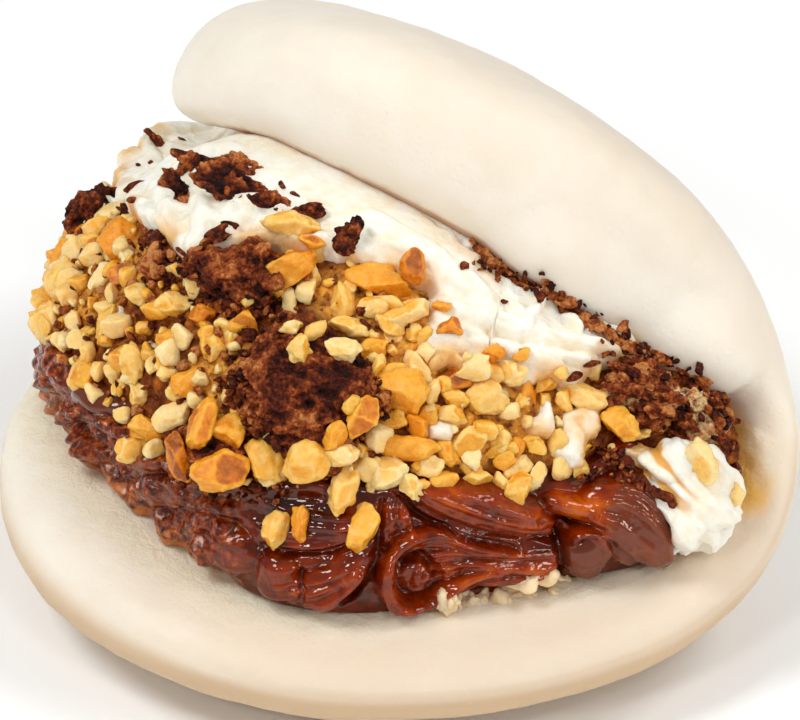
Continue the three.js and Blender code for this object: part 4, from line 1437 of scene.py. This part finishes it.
def chunk(points, random, facets, keep):
    """A unit ball with its sides cut off flat, each with a soft edge, and a tone of its own inside a cut."""
    shape = points.copy()
    tone = np.full(len(points), 0.3)
    for _ in range(facets):
        direction = unit(random.normal(size=3))
        limit = random.uniform(*keep)
        height = shape @ direction
        over = 0.5 * (height - limit + np.hypot(height - limit, CHUNK_EDGE))
        shape = shape - np.outer(over * 0.92, direction)
        face_tone = random.uniform(0.2, 1) * smoothstep(over, 0.04, 0.24)
        tone = lerp(tone, face_tone, smoothstep(over, 0.03, 0.1))
    shape = shape * (1 + 0.16 * fractal(points, 0.8, 2, int(random.integers(1, 999))))[:, None]
    middle = (shape.max(0) + shape.min(0)) / 2
    return (shape - middle) / ((shape.max(0) - shape.min(0)) / 2), tone


def place_piece(surface, shape, x, y, size, tilt, sink):
    """Puts a unit shape over a pixel, its long side at a tilt in the picture. size is in mm."""
    index = surface.at(x, y)
    spot = surface.points[index]
    toward = toward_camera(spot)
    right = unit(np.cross(UP, toward))
    up = np.cross(toward, right)
    c = math.cos(math.radians(tilt))
    s = math.sin(math.radians(tilt))
    long_way = right * c + up * s
    wide_way = up * c - right * s
    middle = spot + toward * size[2] * (0.5 - sink)
    axes = np.stack([long_way * size[0] / 2, wide_way * size[1] / 2, toward * size[2] / 2])
    return middle + shape @ axes


# Nuts by the pixel at their middle: x, y, length and width in pixels, tilt of the long side in degrees,
# and tone from 0, pale, to 1, amber
NUTS = [
    (117, 241, 50, 38, 75, 0.75), (128, 255, 24, 14, 100, 0.1), (67, 256, 36, 32, 80, 0.7),
    (82, 240, 26, 16, 20, 0.3), (94, 250, 28, 18, 80, 0.85), (73, 286, 40, 33, -20, 0.25),
    (101, 277, 30, 20, 60, 0.15), (122, 273, 28, 22, 0, 0.85), (138, 296, 27, 25, 0, 0.35),
    (172, 302, 36, 24, 0, 0.4), (51, 313, 38, 26, 110, 0.7), (64, 341, 28, 26, 0, 0.25),
    (86, 334, 22, 14, 70, 0.45), (104, 322, 36, 18, 70, 0.45), (168, 342, 26, 22, 0, 0.65),
    (212, 343, 32, 24, 90, 0.55), (233, 346, 28, 16, 100, 0.3), (202, 314, 26, 22, 0, 0.85),
    (235, 327, 20, 15, 0, 0.6), (157, 288, 20, 14, -60, 0.6), (86, 371, 42, 32, 25, 0.5),
    (131, 363, 38, 24, 100, 0.4), (114, 367, 22, 14, 60, 0.3), (119, 388, 18, 13, 60, 0.35),
    (138, 396, 30, 17, 95, 0.3), (152, 356, 20, 14, -20, 0.5), (165, 363, 25, 18, -30, 0.35),
    (193, 385, 42, 28, 15, 0.7), (173, 415, 40, 24, 25, 0.2), (202, 422, 50, 24, 75, 0.65),
    (229, 432, 38, 34, 10, 0.6), (149, 430, 40, 24, -15, 0.6), (134, 450, 34, 26, 15, 0.4),
    (179, 456, 48, 22, 100, 0.9), (220, 471, 54, 38, 8, 0.65), (265, 462, 46, 38, -20, 0.5),
    (308, 463, 46, 38, 15, 0.45), (288, 272, 62, 28, 32, 0.75), (310, 277, 26, 18, 80, 0.3),
    (312, 240, 26, 12, -10, 0.7), (292, 224, 56, 24, -8, 0.4), (380, 281, 64, 32, -8, 0.7),
    (374, 307, 34, 21, 5, 0.35), (342, 300, 36, 22, 105, 0.45), (403, 314, 46, 24, 15, 0.25),
    (412, 265, 34, 24, 100, 0.85), (440, 306, 18, 10, 0, 0.7), (449, 327, 24, 20, 10, 0.75),
    (416, 332, 22, 17, -20, 0.4), (394, 336, 17, 13, 0, 0.35), (354, 328, 44, 18, -12, 0.35),
    (301, 350, 28, 20, 100, 0.35), (315, 332, 26, 16, 35, 0.4), (344, 352, 34, 23, -8, 0.15),
    (290, 326, 20, 14, 0, 0.2), (288, 305, 32, 14, 100, 0.15), (374, 348, 26, 20, 20, 0.65),
    (378, 370, 28, 12, 60, 0.4), (399, 393, 52, 48, 0, 0.6), (415, 369, 34, 20, 120, 0.2),
    (453, 398, 31, 21, 0, 0.5), (451, 416, 31, 20, 0, 0.35), (434, 391, 26, 13, 80, 0.3),
    (455, 377, 40, 20, 0, 0.85), (364, 420, 42, 26, 70, 0.6), (426, 415, 26, 22, 0, 0.65),
    (335, 438, 28, 22, 40, 0.65), (344, 456, 32, 20, 15, 0.2), (345, 490, 48, 26, 80, 0.4),
    (363, 461, 32, 15, 70, 0.3), (372, 484, 16, 8, 80, 0.25), (388, 474, 38, 30, 30, 0.15),
    (411, 484, 30, 18, -50, 0.2), (427, 470, 32, 22, 20, 0.25), (408, 446, 54, 25, 5, 0.65),
    (448, 452, 26, 18, -40, 0.6), (472, 441, 36, 24, 40, 0.35), (489, 397, 40, 32, -30, 0.4),
    (522, 401, 16, 14, 0, 0.4), (500, 432, 20, 16, 0, 0.5), (499, 450, 34, 14, 12, 0.55),
    (518, 467, 30, 22, 30, 0.25), (518, 488, 36, 22, 60, 0.5), (584, 396, 52, 28, -10, 0.3),
    (621, 424, 40, 25, -35, 0.6), (645, 433, 15, 10, 0, 0.2), (703, 462, 42, 28, -60, 0.15),
    (738, 496, 22, 14, 80, 0.2),
    (593, 372, 20, 15, 60, 0.25), (493, 353, 24, 15, 30, 0.75), (476, 366, 32, 26, 0, 0.15),
    (512, 375, 28, 24, 0, 0.25), (520, 356, 18, 12, 20, 0.6), (470, 360, 18, 16, 0, 0.2),
    (275, 529, 36, 24, 70, 0.45), (298, 523, 34, 15, 82, 0.75), (365, 530, 46, 26, 75, 0.55),
    (478, 400, 20, 26, 0, 0.5), (392, 420, 26, 18, 10, 0.6), (350, 405, 20, 14, 50, 0.5),
    (70, 318, 18, 14, 30, 0.4), (246, 300, 14, 12, 0, 0.4), (545, 385, 22, 16, 30, 0.5),
    (560, 372, 16, 12, 0, 0.4), (530, 440, 18, 12, 20, 0.55), (470, 470, 20, 14, -20, 0.5),
]
NUT_DEPTH = 0.75  # depth against the mean of length and width
NUT_SWELL = 1.1  # against the part of a nut that shows in the picture
NUT_SUNK = 0.3  # of its depth
NUT_SEED = 5
BIT_SEED = 23
CRUMB_SEED = 29
SCRAP_SEED = 37
FLAKE_SEED = 17
LARGE_NUT = 450  # square pixels above which a nut is made finer


class Heap:
    """Loose pieces gathered into one mesh."""

    def __init__(self, seed):
        self.random = np.random.default_rng(seed)
        self.points = []
        self.faces = []
        self.tones = []
        self.count = 0

    def add(self, points, faces, tone):
        self.points.append(points)
        self.faces.append(faces + self.count)
        self.tones.append(np.broadcast_to(tone, len(points)))
        self.count += len(points)

    def along(self, surface, lines, falling):
        """Random places along lines of pixels: a point, its normal and a size in mm, mostly a small one."""
        for line, reach, count, sizes in lines:
            path = smooth_path(line)
            for _ in range(count):
                x, y = path[self.random.integers(len(path))] + self.random.normal(size=2) * reach * 0.6
                index = surface.at(x, y)
                size = lerp(*sizes, self.random.beta(1.2, falling))
                yield surface.points[index], surface.normals[index], size

    def chunk(self, level, facets=9, keep=(0.4, 0.8)):
        shape, faces = BALLS[level]
        cut_shape, facet = chunk(shape, self.random, facets, keep)
        return cut_shape, faces, facet

    def drop(self, level, spot, normal, size, tone, sink=0.3, ragged=0.0):
        """A chunk turned at random on a spot, its size in mm."""
        shape, faces, facet = self.chunk(level)
        shape = shape * (1 + ragged * self.random.normal(size=len(shape)))[:, None]
        turn = np.linalg.qr(self.random.normal(size=(3, 3)))[0]
        if np.linalg.det(turn) < 0:
            turn[0] = -turn[0]
        points = (shape * np.asarray(size) / 2) @ turn
        middle = spot + normal * (0.5 - sink) * np.mean(size)
        self.add(middle + points, faces, tone + 0.3 * (facet - 0.5))

    def make(self, name, look, replaces=(), attribute="tone"):
        points = np.concatenate(self.points)
        faces = np.concatenate(self.faces)
        make_mesh(name, points, faces, look, replaces, {attribute: np.concatenate(self.tones)})


def nut_spots(surface):
    """Where the listed nuts lie, with their half lengths in mm."""
    spots = np.array([surface.points[surface.at(nut[0], nut[1])] for nut in NUTS])
    reaches = np.array([0.25 * (nut[2] + nut[3]) * PIXEL for nut in NUTS])
    return spots, reaches


def make_nuts(look, surface):
    heap = Heap(NUT_SEED)
    for x, y, length, width, tilt, tone in NUTS:
        shape, faces, facet = heap.chunk(4 if length * width > LARGE_NUT else 3, 8, (0.48, 0.88))
        size = np.array([length, width, 0.5 * (length + width) * NUT_DEPTH]) * PIXEL * NUT_SWELL
        points = place_piece(surface, shape, x, y, size, tilt, NUT_SUNK)
        uneven = 0.18 * fractal(points, 1.6, 2, 91) + 0.22 * fractal(points, 0.8, 3, 92, 0.6)
        points = points + shape * uneven[:, None]
        heap.add(points, faces, tone + 0.4 * (facet - 0.4))
    far_nuts(heap)
    heap.make("chopped_hazelnuts", look, ["crumb_filling"])


def crumb_places(random, tries, spacing, ends, taken=(), reaches=()):
    """Random places on the front of the crumb, apart from each other and from the taken places."""
    degrees = random.uniform(*ends, tries)
    heights = lerp(sauce_top(degrees) + 0.01, crumb_top(degrees), random.uniform(0, 1, tries))
    points = wall(degrees, heights)
    normals = wall_normal(degrees, heights)
    free = np.ones(tries, bool)
    for spot, reach in zip(taken, reaches):
        free &= np.linalg.norm(points - spot, axis=1) > reach
    kept = []
    for k in np.nonzero(free)[0]:
        if not kept or np.linalg.norm(points[kept] - points[k], axis=1).min() > spacing:
            kept.append(k)
    return points[kept], normals[kept]


LEFT_BROWNIE = (96, 208)  # the pixel at the middle of the brownie at the far end
FAR_SIDE = (124, 163)  # degrees round the lip of the part that the picture doesn't show
NEAR_SIDE = (20, 163)
CRUMBED_SIDE = (56, 163)


def far_nuts(heap):
    bare = [WALL.points[WALL.at(*LEFT_BROWNIE)]]
    for spot, normal in zip(*crumb_places(heap.random, 900, 3.4, FAR_SIDE, bare, [8])):
        size = heap.random.uniform(2.4, 4.4) * heap.random.uniform(0.75, 1.1, 3)
        heap.drop(3, spot, normal, size, heap.random.uniform(0.1, 0.85), 0.55)


def make_nut_bits(look, surface):
    """Small broken nut between the larger pieces."""
    heap = Heap(BIT_SEED)
    nuts, reaches = nut_spots(surface)
    # The bits keep off the dark places, so the dark brownie and the painted shade show.
    dark = [WALL.points[WALL.at(x, y)] for x, y, _ in DARK_AND_SHADED_PLACES]
    taken = [*nuts, *dark]
    bare = [*(0.7 * reaches), *(0.75 * reach for _, _, reach in DARK_AND_SHADED_PLACES)]
    for spot, normal in zip(*crumb_places(heap.random, 9000, 1.95, NEAR_SIDE, taken, bare)):
        length = heap.random.uniform(1.0, 3.2)
        size = length * heap.random.uniform(0.6, 1.15, 3)
        tone = 0.05 + 0.8 * heap.random.beta(1.4, 2.0)
        heap.drop(3 if length > 1.6 else 2, spot, normal, size, tone, 0.42, 0.03)
    heap.make("nut_bits", look, ["crumb_filling"])


# Lines of pixels along which brownie crumbs lie: the line, its half width in pixels, crumbs, and size in mm
CRUMB_LINES = [
    ([(474, 256), (520, 276), (575, 306), (640, 352)], 10, 90, (0.4, 1.8)),
    ([(612, 380), (650, 398), (700, 415)], 26, 60, (0.4, 1.6)),
    ([(640, 348), (680, 368), (706, 386)], 6, 36, (0.5, 1.5)),
    ([(706, 392), (724, 412), (734, 448)], 8, 50, (0.5, 1.8)),
    ([(190, 300), (240, 318), (300, 318)], 12, 60, (0.5, 1.6)),
    ([(240, 340), (232, 400), (262, 440)], 12, 60, (0.5, 1.8)),
    ([(380, 350), (385, 400), (350, 430)], 10, 50, (0.5, 1.6)),
    ([(150, 240), (165, 262), (180, 282)], 16, 60, (0.5, 1.8)),
    ([(600, 450), (618, 462), (640, 484)], 10, 50, (0.4, 1.5)),
    ([(580, 478), (600, 470), (630, 476)], 5, 24, (0.4, 1.2)),
    ([(170, 470), (230, 490), (290, 490)], 10, 50, (0.4, 1.4)),
]


def make_crumbs(look, surface):
    """Loose brownie crumbs over the filling."""
    heap = Heap(CRUMB_SEED)
    random = heap.random
    for spot, normal, size in heap.along(surface, CRUMB_LINES, 3):
        sides = size * random.uniform(0.4, 1.2, 3)
        heap.drop(2, spot, normal, sides, random.uniform(0.25, 0.9), 0.3, 0.12)
    for spot, normal in zip(*crumb_places(random, 2600, 1.6, CRUMBED_SIDE)):
        sides = random.uniform(0.4, 1.5) * random.uniform(0.5, 1.1, 3)
        heap.drop(2, spot, normal, sides, random.uniform(0.5, 1.1), 0.2, 0.12)
    heap.make("brownie_crumbs", look, ["crumb_filling"])


# Torn scraps of dough along the foot of the filling: line, half width in pixels, scraps, and size in mm
SCRAP_LINES = [([(446, 606), (480, 599), (520, 592), (566, 579)], 3, 56, (1.0, 2.8))]
SCRAP_SUNK = 0.25  # of its size


def make_scraps(look, surface):
    heap = Heap(SCRAP_SEED)
    random = heap.random
    for spot, normal, size in heap.along(surface, SCRAP_LINES, 2.5):
        shape, faces, _ = heap.chunk(3, 3, (0.7, 0.95))
        turn = np.linalg.qr(random.normal(size=(3, 3)))[0]
        turn = turn * np.sign(np.linalg.det(turn))
        points = (shape * size * random.uniform(0.2, 0.8, 3)) @ turn
        uneven = 0.4 * fractal(points + random.uniform(0, 99, 3), 1.4, 2, 38)
        points = points + shape @ turn * uneven[:, None]
        heap.add(spot + points - normal * SCRAP_SUNK * size, faces, 0.5)
    heap.make("dough_scraps", look, attribute="oil")


# Flakes of brownie: x, y, length and width in pixels, and tilt of the long side in degrees
FLAKES_ON_CREAM = [
    (157, 140, 34, 12, -52), (138, 163, 5, 4, 0), (133, 184, 22, 8, 30), (126, 213, 22, 9, -62),
    (200, 161, 58, 18, -22), (238, 186, 84, 34, -27), (268, 200, 40, 16, -20), (180, 192, 56, 22, -64),
    (220, 233, 36, 15, 26), (307, 211, 32, 16, 4), (347, 236, 34, 27, 84), (205, 176, 10, 5, 0),
    (281, 184, 9, 5, -60), (296, 193, 10, 4, -30), (183, 138, 12, 4, -30), (150, 160, 6, 4, 0),
    (130, 200, 8, 6, 0), (505, 300, 7, 4, 0), (590, 365, 16, 6, 20), (575, 378, 16, 8, 30),
    (640, 480, 20, 11, -20), (658, 492, 26, 10, -30), (628, 476, 14, 12, 0), (672, 502, 14, 7, -40),
]
FLAKES_AT_RIGHT = [
    (630, 372, 44, 13, -24), (655, 366, 40, 11, -30), (684, 380, 34, 12, -34), (626, 390, 50, 14, -18),
    (664, 392, 46, 13, -26), (612, 402, 30, 12, 16), (650, 408, 44, 13, -14),
    (684, 420, 34, 13, -30), (716, 418, 26, 11, -56), (724, 440, 24, 10, -70),
    (155, 240, 28, 20, -20), (163, 266, 42, 38, 0),
]
FLAKES_AT_LIP = [
    (484, 257, 30, 12, -30), (506, 268, 34, 13, -26), (532, 281, 34, 14, -30), (560, 298, 36, 14, -32),
    (588, 318, 36, 14, -34), (614, 337, 34, 13, -36), (638, 352, 30, 13, -34), (520, 276, 22, 8, -40),
    (575, 309, 24, 8, -20), (602, 330, 22, 8, -50), (660, 358, 24, 12, -30), (678, 364, 30, 12, -26),
    (700, 378, 22, 10, -40),
]
FLAKE_DEPTH = 0.4  # depth against the width
LEAST_FLAKE_DEPTH = 6  # pixels
FLAKE_SWELL = 1.1
FLAKE_SUNK = 0.15  # of its depth


def make_flakes(look, filling, over_all):
    """Flakes on the filling, and flakes at the lip, which may also lie on the dough."""
    heap = Heap(FLAKE_SEED)
    groups = [
        (FLAKES_ON_CREAM, filling, 0.52),
        (FLAKES_AT_RIGHT, filling, 0.62),
        (FLAKES_AT_LIP, over_all, 0.82),
    ]
    for flakes, surface, tone in groups:
        for x, y, length, width, tilt in flakes:
            level = 3 if length < 12 else 4 if length < 40 else 5
            shape, faces, _ = heap.chunk(level, 6, (0.45, 0.8))
            thick = max(width * FLAKE_DEPTH, LEAST_FLAKE_DEPTH)
            size = np.array([length, width, thick]) * PIXEL * FLAKE_SWELL
            points = place_piece(surface, shape, x, y, size, tilt, FLAKE_SUNK)
            torn = 0.02 * min(width, 25)
            holes, _ = cells(points, 0.8, 94)
            ragged = 1.3 * fractal(points, 1.8, 2, 96) + 1.1 * fractal(points, 0.9, 3, 95, 0.7)
            ragged = ragged + 0.9 * (0.55 - holes)
            # The tone follows the torn relief: painted light where the flake stands out, painted shade where
            # it sinks.
            heap.add(points + unit(shape) * torn * ragged[:, None], faces, tone + 0.7 * torn * ragged)
    heap.make("brownie_flakes", look)


# Stage


FLOOR_SIDE = 6000  # half of it, in mm
WORLD_COLOUR = (1, 0.985, 0.955, 1)
WORLD_STRENGTH = 0.36
# Soft boxes round the camera: degrees to its right, degrees of elevation, size in m, watts
SOFT_BOXES = [(-75, 58, 0.34, 3.6), (-30, 38, 0.15, 1.15), (22, 46, 0.13, 0.7), (62, 24, 0.22, 1.35)]
SOFT_BOX_DISTANCE = 0.9
SOFT_BOX_COLOUR = (0.96, 0.99, 1)
BACK_LIGHT = ((0.35, 0.45, 0.8), 0.4, 2.3, (1, 1, 1))  # place, size, watts and colour
LIGHTS_AIM = Vector((0, 0, 0.03))


def make_floor(look):
    side = FLOOR_SIDE
    points = np.array([[-side, -side, 0], [side, -side, 0], [side, side, 0], [-side, side, 0]], float)
    mesh = bpy.data.meshes.new("floor")
    mesh.from_pydata((points * MM).tolist(), [], [(0, 1, 2, 3)])
    mesh.materials.append(look)
    floor = bpy.data.objects.new("floor", mesh)
    bpy.context.scene.collection.objects.link(floor)


def make_camera():
    data = bpy.data.cameras.new("camera")
    data.sensor_width = SENSOR_WIDTH
    data.lens = FOCAL_PIXELS / IMAGE_WIDTH * SENSOR_WIDTH
    data.clip_start = 0.01
    data.clip_end = 30
    camera = bpy.data.objects.new("camera", data)
    camera.location = Vector(CAMERA_PLACE * MM)
    camera.rotation_mode = "QUATERNION"
    camera.rotation_quaternion = Vector(-BACK).to_track_quat("-Z", "Y")
    bpy.context.scene.collection.objects.link(camera)
    bpy.context.scene.camera = camera


def make_light(name, place, size, power, colour):
    data = bpy.data.lights.new(name, "AREA")
    data.shape = "DISK"
    data.size = size
    data.energy = power
    data.color = colour
    lamp = bpy.data.objects.new(name, data)
    lamp.location = Vector(place)
    lamp.rotation_mode = "QUATERNION"
    lamp.rotation_quaternion = (LIGHTS_AIM - lamp.location).to_track_quat("-Z", "Y")
    bpy.context.scene.collection.objects.link(lamp)


def make_soft_boxes():
    for k, (aside, elevation, size, power) in enumerate(SOFT_BOXES):
        turn = math.radians(AZIMUTH + aside)
        rise = math.radians(elevation)
        level = math.cos(rise)
        toward = np.array([math.sin(turn) * level, -math.cos(turn) * level, math.sin(rise)])
        make_light(f"soft_box_{k}", toward * SOFT_BOX_DISTANCE, size, power, SOFT_BOX_COLOUR)


def make_lights():
    world = bpy.data.worlds.new("studio")
    world.use_nodes = True
    background = world.node_tree.nodes["Background"]
    background.inputs["Color"].default_value = WORLD_COLOUR
    background.inputs["Strength"].default_value = WORLD_STRENGTH
    bpy.context.scene.world = world
    bpy.context.scene.view_settings.view_transform = "Standard"
    make_soft_boxes()
    make_light("back", *BACK_LIGHT)


def make_scene():
    make_camera()
    make_lights()
    make_floor(floor_look())
    skin = make_bun(dough_look("steamed_dough", 4.0))
    surface = make_sauce(sauce_look())
    make_scraps(dough_look("torn_dough", 1.0), skin.with_layer(surface))
    surface = surface.with_layer(make_crumb(crumb_look()))
    cream = cream_look()
    surface = surface.with_layer(make_cream(cream))
    surface = surface.with_layer(make_lump(cream))
    surface = surface.with_layer(make_brownies(brownie_look("brownie", "high")))
    loose = brownie_look("loose_brownie", "tone")
    over_all = skin.with_layer(surface)
    make_flakes(loose, surface, over_all)
    make_crumbs(loose, over_all)
    nut = nut_look()
    make_nuts(nut, surface)
    make_nut_bits(nut, surface)


make_scene()
